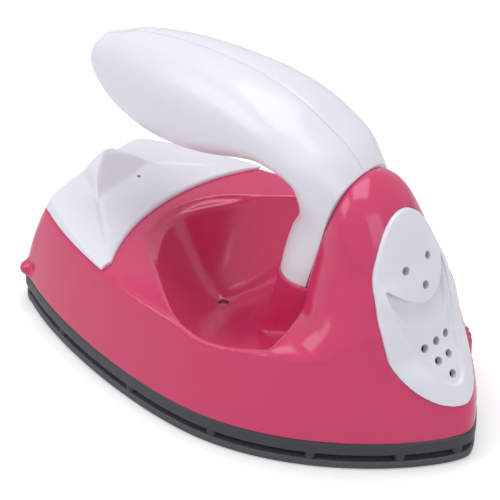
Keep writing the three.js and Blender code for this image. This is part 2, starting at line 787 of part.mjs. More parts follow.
for (const [side, y] of [['left', coverScrewY], ['right', -coverScrewY]]) {
  const at = new THREE.Vector3(coverScrewX, y, coverBottom);
  cover = cover.subtract(rodAlong(up, coverScrewHole, 2 * coverScrewReach, at, screwSides));
  shell = shell.subtract(rodAlong(up, coverScrewHole, 2 * bodyWall + 2 * overrun, at, screwSides));
  const coverScrew = screw(screwHeadDiameter, screwHeadHeight, screwDiameter, coverScrewLength);
  const mesh = add(`cover_screw_${side}`, coverScrew.rotateX(Math.PI), steel);
  mesh.position.set(coverScrewX, y, rimHeight - bodyWall - seatGap);
}
add('rear_cover', surface(cover), whiteShell);
const deckHole = block(whole, coverOpeningWidth, 2 * bodyWall + 2 * overrun, 0, 0, rimHeight)
  .intersect(coverBlock(coverOpeningLedge).translate(0, 0, -bodyWall - overrun))
  .subtract(arcRod(coverArcRadius + coverOpeningLedge));
shell = shell.subtract(deckHole);

// Rubber bushing that lines the cord inlet
const neckLength = inletWall + seatGap + bushingNeckEnd;
const bushing = new THREE.LatheGeometry([
  new THREE.Vector2(inletBore / 2, 0),
  new THREE.Vector2(bushingFlangeDiameter / 2, 0),
  new THREE.Vector2(bushingFlangeDiameter / 2, bushingFlangeThickness),
  new THREE.Vector2(bushingNeckDiameter / 2, bushingFlangeThickness),
  new THREE.Vector2(bushingNeckDiameter / 2, bushingFlangeThickness + neckLength),
  new THREE.Vector2(inletBore / 2, bushingFlangeThickness + neckLength),
  new THREE.Vector2(inletBore / 2, 0),
], roundSides).rotateZ(-Math.PI / 2);
const bushingX = inletX - seatGap - bushingFlangeThickness;
add('inlet_bushing', bushing, darkRubber).position.set(bushingX, 0, inletHeight);

// Vent panel: a proud border on a seat, a thicker middle, a sunk lower field and a crescent recess
function panelOutline(grow) {
  const width = panelWidth / 2;
  const height = (panelHigh - panelLow) / 2;
  const centre = (panelHigh + panelLow) / 2;
  const half = panelEdgeShares.map(([rise, reach]) => [
    reach * (width + grow),
    centre + (2 * rise - 1) * (height + grow),
  ]);
  const mirrored = half.slice(1).reverse().map(([y, z]) => [-y, z]);
  return half.concat(mirrored);
}
function panelPoint([reach, rise]) {
  return [reach * panelWidth / 2, panelLow + rise * (panelHigh - panelLow)];
}
function mirrorCurve(points) {
  const mirrored = points.concat(points.slice(0, -1).reverse().map(([y, z]) => [-y, z]));
  const curve = new THREE.SplineCurve(mirrored.map(([y, z]) => new THREE.Vector2(y, z)));
  return curve.getPoints(crescentSteps).map((point) => [point.x, point.y]);
}
const noseForm = (wall) => solid(loft(bodyForm(wall, seamX, hoodHeight)));
const panelBar = (grow) => frontBar(panelOutline(grow), panelRearShare * halfLength, whole);
const borderForm = noseForm(-panelProud).subtract(noseForm(panelSeat));
const middleForm = noseForm(-panelProud).subtract(noseForm(panelBack));
const fieldTop = mirrorCurve(crescentUpperShares.map(panelPoint));
const fieldPoints = panelOutline(-fieldBorder).filter(([, z]) => z < fieldTop[1][1]);
const fieldLeft = fieldPoints.filter(([y]) => y >= 0);
const fieldRight = fieldPoints.filter(([y]) => y < 0);
const field = frontBar([...fieldLeft, ...fieldRight, ...fieldTop], 0, whole);
const crescentLower = mirrorCurve(crescentLowerShares.map(panelPoint)).reverse();
const crescent = frontBar([...fieldTop, ...crescentLower], 0, whole);
let panel = panelBar(0).intersect(borderForm).add(panelBar(-panelLip - clearance).intersect(middleForm));
panel = panel.subtract(field.subtract(noseForm(fieldDepth - panelProud)));
panel = panel.subtract(crescent.subtract(noseForm(crescentDepth - panelProud)));
const leanAngle = THREE.MathUtils.degToRad(ventLean);
const outward = new THREE.Vector3(Math.cos(leanAngle), 0, Math.sin(leanAngle));
for (const [x, y, z] of ventShares) {
  const at = new THREE.Vector3(x * halfLength, y * panelWidth / 2, z * hoodHeight);
  panel = panel.subtract(rodAlong(outward, ventDiameter, panelWidth / 2, at, screwSides));
}
const panelCut = panelBar(clearance / 2).subtract(noseForm(panelSeat + seatGap)).add(panelBar(-panelLip));
shell = shell.subtract(panelCut);

// Handle: two moulded halves cut at the seam, with a tongue into the hood and bosses for the screws
function seamSlab(start, end, low, high) {
  return profileSlab([
    [seamX(low) + start, low],
    [seamX(low) + end, low],
    [seamX(high) + end, high],
    [seamX(high) + start, high],
  ], whole);
}
const handleSolid = handleForm(0);
const beyondSeam = seamSlab(-seatGap, whole, footHeight, handleHeight + overrun);
const endPlate = handleSolid.intersect(seamSlab(-handleWall, 0, footHeight, handleHeight));
const tongueLow = tongueLowShare * hoodHeight;
const tongueHigh = tongueHighShare * hoodHeight;
const noseInside = (wall) => solid(loft(bodyForm(wall, innerRear, hoodHeight)));
const tongue = noseInside(bodyWall + clearance)
  .intersect(seamSlab(-handleWall, handleTongue, tongueLow, tongueHigh))
  .intersect(block(whole, handleWidth - 2 * (bodyWall + clearance), whole, 0, 0, 0))
  .subtract(noseInside(2 * bodyWall + clearance).intersect(seamSlab(0, whole, tongueLow, tongueHigh)));
const handleShell = handleSolid.subtract(handleForm(handleWall)).add(endPlate).subtract(beyondSeam)
  .add(tongue.intersect(seamSlab(-handleWall, whole, tongueLow, tongueHigh)));
const screwTip = screwLength - screwSeat + clearance;
const screwHole = screwDiameter + clearance;
const headHole = screwHeadDiameter + clearance;
const acrossAt = (x, z, start, end) => new THREE.Vector3(x, (start + end) / 2, z);
const footX = footScrewShares[0] * halfLength;
const footY = footScrewShares[1] * halfWidth;
let halves = handleShell;
for (const [x, z] of handleBossShares.map(([along, rise]) => [along * halfLength, rise * handleHeight])) {
  const boss = rodAlong(left, bossDiameter, handleWidth, acrossAt(x, z, 0, 0));
  halves = halves.add(boss.intersect(handleSolid));
}
for (const y of [footY, -footY]) {
  const at = new THREE.Vector3(footX, y, footHeight + footBossHeight / 2);
  halves = halves.add(rodAlong(up, bossDiameter, footBossHeight, at).intersect(handleSolid));
}
for (const y of [footY, -footY]) {
  const reach = 2 * (footScrewLength - bodyWall + clearance);
  const at = new THREE.Vector3(footX, y, footHeight);
  halves = halves.subtract(rodAlong(up, screwHole, reach, at, screwSides));
  shell = shell.subtract(rodAlong(up, screwHole, 2 * bodyWall + 2 * overrun, at, screwSides));
}
handleBossShares.forEach(([along, rise], index) => {
  const [x, z] = [along * halfLength, rise * handleHeight];
  const shankAt = acrossAt(x, z, -screwTip, screwSeat + overrun);
  halves = halves.subtract(rodAlong(left, screwHole, screwTip + screwSeat + overrun, shankAt, screwSides));
  const headAt = acrossAt(x, z, screwSeat, screwSeat + handleWidth);
  halves = halves.subtract(rodAlong(left, headHole, handleWidth, headAt, screwSides));
  const handleScrew = screw(screwHeadDiameter, screwHeadHeight, screwDiameter, screwLength);
  const mesh = add(`handle_screw_${index + 1}`, handleScrew.rotateX(-Math.PI / 2), steel);
  mesh.position.set(x, screwSeat + seatGap, z);
});
const leftSide = block(whole, whole, whole, 0, (whole + seatGap) / 2, 0);
const rightSide = block(whole, whole, whole, 0, -(whole + seatGap) / 2, 0);
add('handle_left', surface(halves.intersect(leftSide)), whiteShell);
add('handle_right', surface(halves.intersect(rightSide)), whiteShell);
for (const [side, y] of [['left', footY], ['right', -footY]]) {
  const footScrew = screw(screwHeadDiameter, screwHeadHeight, screwDiameter, footScrewLength);
  const mesh = add(`foot_screw_${side}`, footScrew.rotateX(Math.PI), steel);
  mesh.position.set(footX, y, footHeight - bodyWall - 2 * seatGap);
}

// Bowl screw through the bowl's floor into the soleplate's post
const bowlHeadHole = bowlScrewHead + clearance;
const bowlHoleDepth = 2 * (bodyWall + overrun);
const bowlScrewAt = new THREE.Vector3(bowlScrewX, 0, bowlScrewSeat + bowlScrewSink);
shell = shell.subtract(rodAlong(up, bowlHeadHole, 2 * bowlScrewSink, bowlScrewAt, roundSides));
shell = shell.subtract(rodAlong(up, bowlScrewShank + clearance, bowlHoleDepth, bowlScrewAt, screwSides));
const bowlScrew = screw(bowlScrewHead, bowlScrewHeadHeight, bowlScrewShank, bowlScrewLength);
add('bowl_screw', bowlScrew, steel).position.set(bowlScrewX, 0, bowlScrewSeat + seatGap);

// Thermostat on the soleplate's pad: bracket, body, bridge, blades and screws
const bracketBottom = padTop + seatGap;
const thermostatBottom = bracketBottom + bracketThickness + seatGap;
const thermostatTop = thermostatBottom + thermostatHeight;
const bridgeBottom = thermostatTop + seatGap;
const collarBottom = bridgeBottom + bridgeThickness + seatGap;
const wheelBottom = collarBottom + collarHeight + seatGap;
const bracketMiddle = bracketBottom + bracketThickness / 2;
let bracket = block(bracketWidth, bracketLength, bracketThickness, wheelX, bracketY, bracketMiddle);
for (const y of screwSpots) {
  const at = new THREE.Vector3(wheelX, y, bracketBottom);
  bracket = bracket.subtract(rodAlong(up, padScrewDiameter + clearance, whole, at, screwSides));
}
add('thermostat_bracket', surface(bracket), steel);
let thermostat = block(
  thermostatSide,
  thermostatSide,
  thermostatHeight,
  wheelX,
  wheelY,
  thermostatBottom + thermostatHeight / 2,
);
const spindleAt = (bottom, top) => new THREE.Vector3(wheelX, wheelY, (bottom + top) / 2);
const spindleHole = spindleDiameter + 2 * clearance;
const spindleBottom = thermostatTop - spindleDepth;
thermostat = thermostat.subtract(rodAlong(
  up,
  spindleHole,
  spindleDepth + seatGap + overrun,
  spindleAt(spindleBottom - seatGap, thermostatTop + overrun),
));
const bladeRear = wheelX - thermostatSide / 2 + bladeDepth - bladeLength;
const bladeLevels = bladeShares.map((share) => thermostatBottom + share * thermostatHeight);
const bladeX = bladeRear + bladeLength / 2;
for (const z of bladeLevels) {
  thermostat = thermostat.subtract(block(
    bladeLength + clearance,
    bladeWidth + clearance,
    bladeThickness + clearance,
    bladeX,
    wheelY,
    z,
  ));
}
add('thermostat_body', surface(thermostat), ceramic);
bladeLevels.forEach((z, index) => {
  const blade = new THREE.BoxGeometry(bladeLength, bladeWidth, bladeThickness);
  const name = ['thermostat_blade_lower', 'thermostat_blade_upper'][index];
  add(name, blade, brass).position.set(bladeX, wheelY, z);
});
const bridgeInner = thermostatSide + 2 * clearance;
const bridgeOuter = bridgeInner + 2 * bridgeThickness;
const bridgeTop = bridgeBottom + bridgeThickness;
const bridgeFoot = thermostatBottom;
const bridgeMiddle = (bridgeTop + bridgeFoot) / 2;
let bridge = block(bracketWidth, bridgeOuter, bridgeTop - bridgeFoot, wheelX, wheelY, bridgeMiddle);
bridge = bridge.subtract(block(
  whole,
  bridgeInner,
  bridgeBottom - bridgeFoot + overrun,
  wheelX,
  wheelY,
  (bridgeBottom + bridgeFoot - overrun) / 2,
));
bridge = bridge.subtract(rodAlong(up, spindleHole, whole, spindleAt(0, 0)));
add('thermostat_bridge', surface(bridge), steel);
screwSpots.forEach((y, index) => {
  const padScrew = screw(padScrewHead, padScrewHeadHeight, padScrewDiameter, padScrewLength);
  const mesh = add(`thermostat_screw_${index + 1}`, padScrew, steel);
  mesh.position.set(wheelX, y, bracketBottom + bracketThickness + seatGap);
});

// Temperature wheel on its spindle, and the slot it turns in
const wheelShape = new THREE.Shape();
for (let rib = 0; rib < wheelRibs; rib += 1) {
  for (const [turnShare, depthShare] of wheelRibShares) {
    const angle = 2 * Math.PI * (rib + turnShare) / wheelRibs;
    const reach = wheelDiameter / 2 - depthShare * wheelRibDepth;
    const [x, y] = [Math.cos(angle) * reach, Math.sin(angle) * reach];
    if (rib === 0 && turnShare === 0) {
      wheelShape.moveTo(x, y);
    } else {
      wheelShape.lineTo(x, y);
    }
  }
}
const wheelDepth = { depth: wheelThickness, bevelEnabled: false, steps: 1 };
const ribbed = new THREE.ExtrudeGeometry(wheelShape, wheelDepth);
const origin = new THREE.Vector3();
const webSpace = (wheelThickness - wheelWeb) / 2;
const pocket = rodAlong(up, wheelDiameter - 2 * wheelRim, webSpace + overrun, origin)
  .subtract(rodAlong(up, wheelHub, whole, origin));
let wheel = solid(ribbed);
wheel = wheel.subtract(pocket.translate(0, 0, (webSpace - overrun) / 2));
wheel = wheel.subtract(pocket.translate(0, 0, wheelThickness - (webSpace - overrun) / 2));
wheel = wheel.subtract(rodAlong(up, spindleDiameter + 2 * seatGap, whole, origin));
add('temperature_wheel', surface(wheel), pinkWheel).position.set(wheelX, wheelY, wheelBottom);
const wheelTop = wheelBottom + wheelThickness;
shell = shell.subtract(rodAlong(
  up,
  wheelDiameter + 2 * wheelGap,
  wheelThickness + 2 * wheelGap,
  spindleAt(wheelBottom, wheelTop),
  arcSides,
));
const spindleTop = wheelTop - spindleSink;
const spindle = new THREE.LatheGeometry([
  new THREE.Vector2(0, spindleBottom),
  new THREE.Vector2(spindleDiameter / 2, spindleBottom),
  new THREE.Vector2(spindleDiameter / 2, collarBottom),
  new THREE.Vector2(collarDiameter / 2, collarBottom),
  new THREE.Vector2(collarDiameter / 2, collarBottom + collarHeight),
  new THREE.Vector2(spindleDiameter / 2, collarBottom + collarHeight),
  new THREE.Vector2(spindleDiameter / 2, spindleTop),
  new THREE.Vector2(0, spindleTop),
], roundSides).rotateX(Math.PI / 2);
add('wheel_spindle', spindle, brass).position.set(wheelX, wheelY, 0);

// Heating element on the soleplate, its pins, and the sheets over it
const elementHeight = soleThickness + seatGap + elementDiameter / 2;
const elementHalf = elementShares.map(([x, y]) => [x * halfLength, y * halfWidth, elementHeight]);
const elementPath = elementHalf.concat(elementHalf.slice(0, -1).reverse().map(([x, y, z]) => [x, -y, z]));
add('heating_element', tube(elementPath, elementDiameter, screwSides, elementPitch), sheath);
const [elementEndX, elementEndY] = elementHalf[0];
const pinEnd = elementEndX - seatGap - pinLength;
for (const [side, y] of [['left', elementEndY], ['right', -elementEndY]]) {
  const pin = new THREE.CylinderGeometry(pinDiameter / 2, pinDiameter / 2, pinLength, screwSides);
  const mesh = add(`element_pin_${side}`, pin.rotateZ(Math.PI / 2), brass);
  mesh.position.set(elementEndX - seatGap - pinLength / 2, y, elementHeight);
}
const sheetRear = sheetRearShare * halfLength;
const sheetFront = sheetFrontShare * halfLength;
const micaBottom = elementHeight + elementDiameter / 2 + seatGap;
const shieldBottom = micaBottom + micaThickness + seatGap;
const sheetHoleRod = rodAlong(up, sheetHole, whole, bowlScrewAt);
function sheet(bottom, thickness) {
  const body = outlineBlock(sheetInset, bottom, bottom + thickness);
  const span = block(sheetFront - sheetRear, whole, whole, (sheetFront + sheetRear) / 2, 0, 0);
  return surface(body.intersect(span).subtract(sheetHoleRod));
}
add('mica_sheet', sheet(micaBottom, micaThickness), mica);
add('heat_shield', sheet(shieldBottom, shieldThickness), steel);

// Thermal fuse in its sleeve behind the sheets
const sleeveOuter = fuseDiameter + 2 * seatGap + 2 * sleeveWall;
const fuseHeight = soleThickness + seatGap + sleeveOuter / 2;
const sleeve = new THREE.LatheGeometry([
  new THREE.Vector2(fuseDiameter / 2 + seatGap, -sleeveLength / 2),
  new THREE.Vector2(sleeveOuter / 2, -sleeveLength / 2),
  new THREE.Vector2(sleeveOuter / 2, sleeveLength / 2),
  new THREE.Vector2(fuseDiameter / 2 + seatGap, sleeveLength / 2),
  new THREE.Vector2(fuseDiameter / 2 + seatGap, -sleeveLength / 2),
], roundSides).rotateZ(-Math.PI / 2);
add('fuse_sleeve', sleeve, sleeveGlass).position.set(blockX, 0, fuseHeight);
const leadEnd = fuseLength / 2 + fuseLeadLength;
const fuse = new THREE.LatheGeometry([
  new THREE.Vector2(0, -leadEnd),
  new THREE.Vector2(fuseLead / 2, -leadEnd),
  new THREE.Vector2(fuseLead / 2, -fuseLength / 2),
  new THREE.Vector2(fuseDiameter / 2, -fuseLength / 2),
  new THREE.Vector2(fuseDiameter / 2, fuseLength / 2),
  new THREE.Vector2(fuseLead / 2, fuseLength / 2),
  new THREE.Vector2(fuseLead / 2, leadEnd),
  new THREE.Vector2(0, leadEnd),
], screwSides).rotateZ(-Math.PI / 2);
add('thermal_fuse', fuse, fuseCase).position.set(blockX, 0, fuseHeight);

// Terminal block on the shelf, with its screws
const blockBottom = shelfHeight + shelfThickness + seatGap;
const boreHeight = blockBottom + blockHeight / 2 - terminalSink / 2;
let terminals = block(blockLength, blockWidth, blockHeight, blockX, 0, blockBottom + blockHeight / 2);
const blockTop = blockBottom + blockHeight;
[-blockPitch, 0, blockPitch].forEach((y, index) => {
  const boreAt = new THREE.Vector3(blockX, y, boreHeight);
  terminals = terminals.subtract(rodAlong(front, blockBore, whole, boreAt, screwSides));
  const well = blockTop - boreHeight;
  const wellAt = new THREE.Vector3(blockX, y, blockTop - well / 2 + overrun / 2);
  terminals = terminals.subtract(rodAlong(up, terminalHead + clearance, well + overrun, wellAt, screwSides));
  const head = new THREE.CylinderGeometry(terminalHead / 2, terminalHead / 2, terminalHeadHeight, screwSides);
  const mesh = add(`terminal_screw_${index + 1}`, head.rotateX(Math.PI / 2), brass);
  mesh.position.set(blockX, y, blockTop - terminalSink - terminalHeadHeight / 2);
});
add('terminal_block', surface(terminals), ceramic);

// Lamps behind the upper vents, on a board held by the panel's posts
const lampX = ventShares[0][0] * halfLength;
const lampY = ventShares[0][1] * panelWidth / 2;
const lampZ = ventShares[0][2] * hoodHeight;
const slope = new THREE.Vector3(-outward.z, 0, outward.x);
const behindVent = (depth, along, y) => new THREE.Vector3(lampX, y, lampZ)
  .addScaledVector(outward, -depth)
  .addScaledVector(slope, along);
const lampFront = panelBack + lampGap;
const boardFront = lampFront + lampLength + seatGap;
const turnOut = new THREE.Quaternion().setFromUnitVectors(new THREE.Vector3(0, 1, 0), outward);
for (const [side, y] of [['left', lampY], ['right', -lampY]]) {
  const lamp = new THREE.CylinderGeometry(lampDiameter / 2, lampDiameter / 2, lampLength, screwSides);
  const mesh = add(`lamp_${side}`, lamp.applyQuaternion(turnOut), side === 'left' ? lampRed : lampGreen);
  mesh.position.copy(behindVent(lampFront + lampLength / 2, 0, y));
}
for (const along of [lampPostPitch / 2, -lampPostPitch / 2]) {
  const reach = boardFront - seatGap;
  const postAt = behindVent((reach + panelSeat) / 2, along, 0);
  panel = panel.add(rodAlong(outward, lampPostDiameter, reach - panelSeat, postAt));
}
const board = new THREE.BoxGeometry(boardThickness, boardWidth, boardLength);
board.applyQuaternion(new THREE.Quaternion().setFromUnitVectors(front, outward));
add('lamp_board', board, boardGreen).position.copy(behindVent(boardFront + boardThickness / 2, 0, 0));
add('front_panel', surface(panel), whiteShell);

// Inner wiring, each run from its own terminal
function wire(name, points, material, diameter = leadWire) {
  add(name, tube(points, diameter, wireSides, wirePitch), material);
}
const blockRear = blockX - blockLength / 2;
const blockFront = blockX + blockLength / 2;
const inletRear = bushingX + bushingFlangeThickness + neckLength / 2;
const bushingEnd = bushingX + bushingFlangeThickness + neckLength;
const dropX = blockFront + wireBend;
for (const [name, side, material] of [['wire_live', 1, wireBrown], ['wire_neutral', -1, wireBlue]]) {
  const inletY = side * (supplyWire + clearance) / 2;
  wire(name, [
    [inletRear, inletY, inletHeight],
    [bushingEnd, inletY, inletHeight],
    [bushingEnd + wireBend / 2, inletY, inletHeight - wireBend / 2],
    [bushingEnd + wireBend / 2, 2 * inletY, rimHeight - wireBend],
    [blockRear - wireBend, side * blockPitch, (blockTop + boreHeight) / 2],
    [blockRear - wireBend / 2, side * blockPitch, boreHeight],
    [blockRear + wireEntry, side * blockPitch, boreHeight],
  ], material, supplyWire);
}
const bladeEnd = bladeRear - seatGap;
const [lowerBlade, upperBlade] = bladeLevels;
const pinRear = pinEnd - seatGap;
const aside = (x, y, z) => [x * halfLength, y * halfWidth, z];
wire('wire_switch', [
  [blockFront - wireEntry, blockPitch, boreHeight],
  [blockFront, blockPitch, boreHeight],
  [blockFront + wireBend / 2, blockPitch, boreHeight],
  [dropX, blockPitch + wireBend, shelfHeight],
  aside(-0.45, 0.5, upperBlade + wireBend),
  aside(-0.05, 0.68, upperBlade + wireBend),
  aside(0.28, 0.48, upperBlade + wireBend / 2),
  [bladeEnd - wireBend, wheelY, upperBlade],
  [bladeEnd, wheelY, upperBlade],
], wireBrown);
wire('wire_element_left', [
  [bladeEnd, wheelY, lowerBlade + clearance / 2],
  [bladeEnd - wireBend, wheelY, lowerBlade + clearance],
  aside(0.26, 0.6, upperBlade),
  aside(-0.05, 0.8, upperBlade),
  aside(-0.55, 0.68, upperBlade),
  aside(-0.83, 0.42, elementHeight + wireBend),
  [pinRear - wireBend, elementEndY, elementHeight],
  [pinRear, elementEndY, elementHeight],
], wireBrown);
const fuseEnd = blockX - leadEnd - seatGap;
const fuseFront = blockX + leadEnd + seatGap;
wire('wire_fuse', [
  [blockFront - wireEntry, -blockPitch, boreHeight],
  [blockFront, -blockPitch, boreHeight],
  [blockFront + wireBend / 2, -blockPitch, boreHeight],
  [dropX, -blockPitch, shelfHeight],
  [fuseFront + wireBend / 2, -blockPitch / 2, (shelfHeight + fuseHeight) / 2],
  [fuseFront + wireBend / 2, 0, fuseHeight],
  [fuseFront, 0, fuseHeight],
], wireBlue);
wire('wire_element_right', [
  [fuseEnd, 0, fuseHeight],
  [fuseEnd - wireBend / 2, 0, fuseHeight],
  [fuseEnd - wireBend, -elementEndY / 2, fuseHeight],
  [fuseEnd - wireBend / 2, -elementEndY, elementHeight],
  [pinRear, -elementEndY, elementHeight],
], wireWhite);
const boardBack = behindVent(boardFront + boardThickness + seatGap, 0, 0);
const beforeBoard = boardBack.clone().addScaledVector(outward, -wireBend);
wire('wire_lamp', [
  [blockFront - wireEntry, 0, boreHeight],
  [blockFront, 0, boreHeight],
  [blockFront + wireBend / 2, 0, boreHeight],
  [dropX, -wireBend, shelfHeight + wireBend],
  aside(-0.45, -0.5, shelfHeight),
  aside(-0.05, -0.72, shelfHeight),
  aside(0.36, -0.6, shelfHeight + wireBend),
  aside(0.52, -0.3, rimHeight + wireBend),
  [beforeBoard.x, beforeBoard.y, beforeBoard.z],
  [boardBack.x, boardBack.y, boardBack.z],
], wireWhite);

add('body_shell', surface(shell), pinkShell);

export default group;
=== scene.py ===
"""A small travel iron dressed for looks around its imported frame.

Lengths are in millimetres until a piece is made.
"""

import json
import math

import bpy
import numpy as np
from mathutils import Matrix, Vector


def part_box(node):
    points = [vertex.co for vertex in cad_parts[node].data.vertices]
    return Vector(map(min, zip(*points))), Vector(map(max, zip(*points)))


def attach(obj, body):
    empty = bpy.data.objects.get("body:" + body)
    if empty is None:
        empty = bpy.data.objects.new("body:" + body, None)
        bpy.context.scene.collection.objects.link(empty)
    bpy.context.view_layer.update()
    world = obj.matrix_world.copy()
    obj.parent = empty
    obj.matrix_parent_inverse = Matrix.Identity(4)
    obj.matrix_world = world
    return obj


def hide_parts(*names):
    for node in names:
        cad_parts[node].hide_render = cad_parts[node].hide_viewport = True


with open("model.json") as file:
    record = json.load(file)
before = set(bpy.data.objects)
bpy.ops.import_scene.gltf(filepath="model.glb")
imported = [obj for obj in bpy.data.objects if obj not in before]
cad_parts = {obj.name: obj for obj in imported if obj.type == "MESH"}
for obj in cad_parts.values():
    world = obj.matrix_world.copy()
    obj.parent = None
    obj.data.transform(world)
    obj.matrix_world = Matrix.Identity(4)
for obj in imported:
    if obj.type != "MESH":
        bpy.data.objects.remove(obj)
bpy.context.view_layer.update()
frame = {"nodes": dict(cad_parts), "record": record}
NODES = frame["nodes"]

MM = 0.001
HALF_LENGTH = 65.0
HALF_WIDTH = 37.5
RIM = 30.0
HOOD = 70.6
HANDLE_TOP = 85.5
HANDLE_HALF = 12.2
FOOT = 38.9
SHELL_FOOT = 8.25
SEAT = 0.15
ABOVE_ALL = 60

# Plan outline of the iron as shares of its half length and half width
WAIST = 0.046
FLANK = [[0.046, 1], [-0.246, 1], [-0.677, 0.827], [-0.931, 0.573]]
CORNER = [[-0.931, 0.573], [-0.975, 0.545], [-0.992, 0.5], [-0.994, 0.4]]
# Levels of the body: height, nose tip, its fullness, shoulder along and across, half width, rear end
PLATE_LEVEL = [0, 1, 0.187, 0.592, 1, 1, 1]
BODY_LEVELS = [
    [0, 0.996, 0.192, 0.592, 0.997, 0.997, 0.996],
    [0.17, 0.994, 0.208, 0.589, 0.987, 0.987, 0.988],
    [0.35, 0.977, 0.24, 0.585, 0.971, 0.973, 0.975],
    [0.54, 0.945, 0.277, 0.577, 0.949, 0.957, 0.958],
    [0.72, 0.908, 0.325, 0.569, 0.925, 0.939, 0.938],
    [0.86, 0.871, 0.373, 0.562, 0.904, 0.923, 0.92],
    [1, 0.838, 0.427, 0.554, 0.88, 0.904, 0.9],
]
# Levels of the hood: height, nose tip, its fullness, flank along and across, half width at the rear face
HOOD_LEVELS = [
    [0.439, 0.831, 0.413, 0.585, 0.747, 0.75],
    [0.456, 0.825, 0.413, 0.585, 0.8, 0.61],
    [0.482, 0.817, 0.413, 0.577, 0.819, 0.493],
    [0.517, 0.806, 0.413, 0.569, 0.8, 0.4],
    [0.574, 0.789, 0.413, 0.554, 0.7, 0.339],
    [0.637, 0.766, 0.415, 0.546, 0.6, 0.325],
    [0.708, 0.729, 0.385, 0.538, 0.5, 0.318],
    [0.779, 0.698, 0.355, 0.531, 0.44, 0.31],
    [0.85, 0.666, 0.295, 0.531, 0.385, 0.29],
    [0.907, 0.631, 0.23, 0.531, 0.335, 0.257],
    [0.949, 0.585, 0.165, 0.523, 0.26, 0.209],
    [0.98, 0.535, 0.08, 0.508, 0.147, 0.128],
    [0.994, 0.495, 0.027, 0.489, 0.043, 0.032],
]
# Rear face of the hood: upright below the handle's foot, leaning between two points above it
HOOD_REAR = 0.377 * HALF_LENGTH
SEAM_LOW = (0.358 * HALF_LENGTH, 0.581 * HOOD)
SEAM_HIGH = (0.477 * HALF_LENGTH, HOOD)
# The dish under the handle, turn by turn from the front about the screw: degrees, reach and height of its rim,
# how hollow the wall is
DISH_RIM = [
    [0, 38, 24, 1.05],
    [20, 40.4, 25, 1.1],
    [30, 43.5, 27.2, 1.15],
    [38, 45.5, 29.6, 1.2],
    [43, 46, 30, 1.25],
    [51, 43, 28.5, 1.3],
    [62, 38.3, 28.3, 1.35],
    [70, 33, 28.8, 1.4],
    [78, 28, 29.2, 1.45],
    [88, 24, 29.5, 1.5],
    [99, 21, 29.5, 1.55],
    [110, 19, 29.3, 1.6],
    [125, 17, 29, 1.65],
    [146, 15.6, 29, 1.7],
    [180, 16.2, 29, 1.7],
]
DISH_FLOOR = 9.8
DISH_EASE = 7
DISH_EASE_REACH = 20
BOWL_SCREW_X = -13.5
# The crescent ledge round the dish's rear
LEDGE_X = -10.5
LEDGE_OUT, LEDGE_IN = 21.5, 19.2
LEDGE_TURN, LEDGE_TURN_SPREAD = 1.5, 0.8
LEDGE_TOP, LEDGE_DEPTH, LEDGE_WIDTH = 30.4, 1.5, 1.3
LEDGE_RISE = 2.5
LEDGE_BLEND = 0.25
DECK_CLEARANCE = 0.6
# Levels of the neck under the handle: height as a share of the foot's, rear end, half width
NECK_LEVELS = [
    [0.264, -0.054, 0.362],
    [0.337, -0.025, 0.358],
    [0.466, 0.033, 0.352],
    [0.622, 0.083, 0.346],
    [0.777, 0.122, 0.341],
    [0.907, 0.145, 0.337],
    [1, 0.155, 0.335],
]
NECK_ROUND = 2.6
# Sections of the handle: crown along and up, underside along and up, half width
HANDLE_SECTIONS = [
    [-0.819, 0.832, -0.819, 0.819, 0.12],
    [-0.819, 0.853, -0.817, 0.78, 0.3],
    [-0.79, 0.886, -0.778, 0.732, 0.43],
    [-0.722, 0.913, -0.7, 0.685, 0.55],
    [-0.637, 0.944, -0.603, 0.664, 0.71],
    [-0.508, 0.972, -0.478, 0.655, 0.88],
    [-0.366, 0.991, -0.339, 0.663, 1],
    [-0.215, 1, -0.215, 0.684, 1.07],
    [-0.074, 1, -0.099, 0.715, 1.115],
    [0.062, 0.988, 0.011, 0.748, 1.14],
    [0.192, 0.961, 0.107, 0.768, 1.145],
    [0.309, 0.918, 0.184, 0.766, 1.135],
    [0.406, 0.874, 0.243, 0.743, 1.1],
    [0.482, 0.811, 0.251, 0.689, 1.04],
    [0.539, 0.741, 0.23, 0.636, 0.97],
    [0.55, 0.664, 0.19, 0.582, 0.94],
    [0.521, 0.588, 0.174, 0.541, 0.96],
    [0.484, 0.518, 0.163, 0.5, 1],
    [0.452, 0.455, 0.155, 0.455, 1.03],
]
HANDLE_ROUND = 2.3


# Ways of working ------------------------------------------------------------------------------------------


def put_down():
    """Leaves edit mode and lets go of everything."""
    if bpy.context.object and bpy.context.object.mode != "OBJECT":
        bpy.ops.object.mode_set(mode="OBJECT")
    bpy.ops.object.select_all(action="DESELECT")


def take_up(piece):
    """Makes one piece the only one in hand."""
    put_down()
    piece.select_set(True)
    bpy.context.view_layer.objects.active = piece


def named(name):
    """Names the piece just added and returns it."""
    piece = bpy.context.object
    piece.name = piece.data.name = name
    return piece


def settle(piece):
    """Puts a piece's place into its mesh."""
    take_up(piece)
    bpy.ops.object.transform_apply(location=True, rotation=True, scale=True)
    return piece


def apply_all(piece):
    """Applies a piece's modifiers in their order."""
    take_up(piece)
    for modifier in list(piece.modifiers):
        bpy.ops.object.modifier_apply(modifier=modifier.name)
    return piece


def combine(piece, tool, how):
    """Cuts, joins or meets a piece with a tool, which is used up."""
    step = piece.modifiers.new(how, "BOOLEAN")
    step.operation = how
    step.solver = "EXACT"
    step.object = tool
    apply_all(piece)
    bpy.data.objects.remove(tool)
    return piece


def cut(piece, tool):
    return combine(piece, tool, "DIFFERENCE")


def meet(piece, tool):
    return combine(piece, tool, "INTERSECT")


def join(piece, tool):
    return combine(piece, tool, "UNION")


def lump(piece, *others):
    """Puts overlapping pieces into one mesh, for the softening that follows."""
    take_up(piece)
    for other in others:
        other.select_set(True)
    bpy.ops.object.join()
    return piece


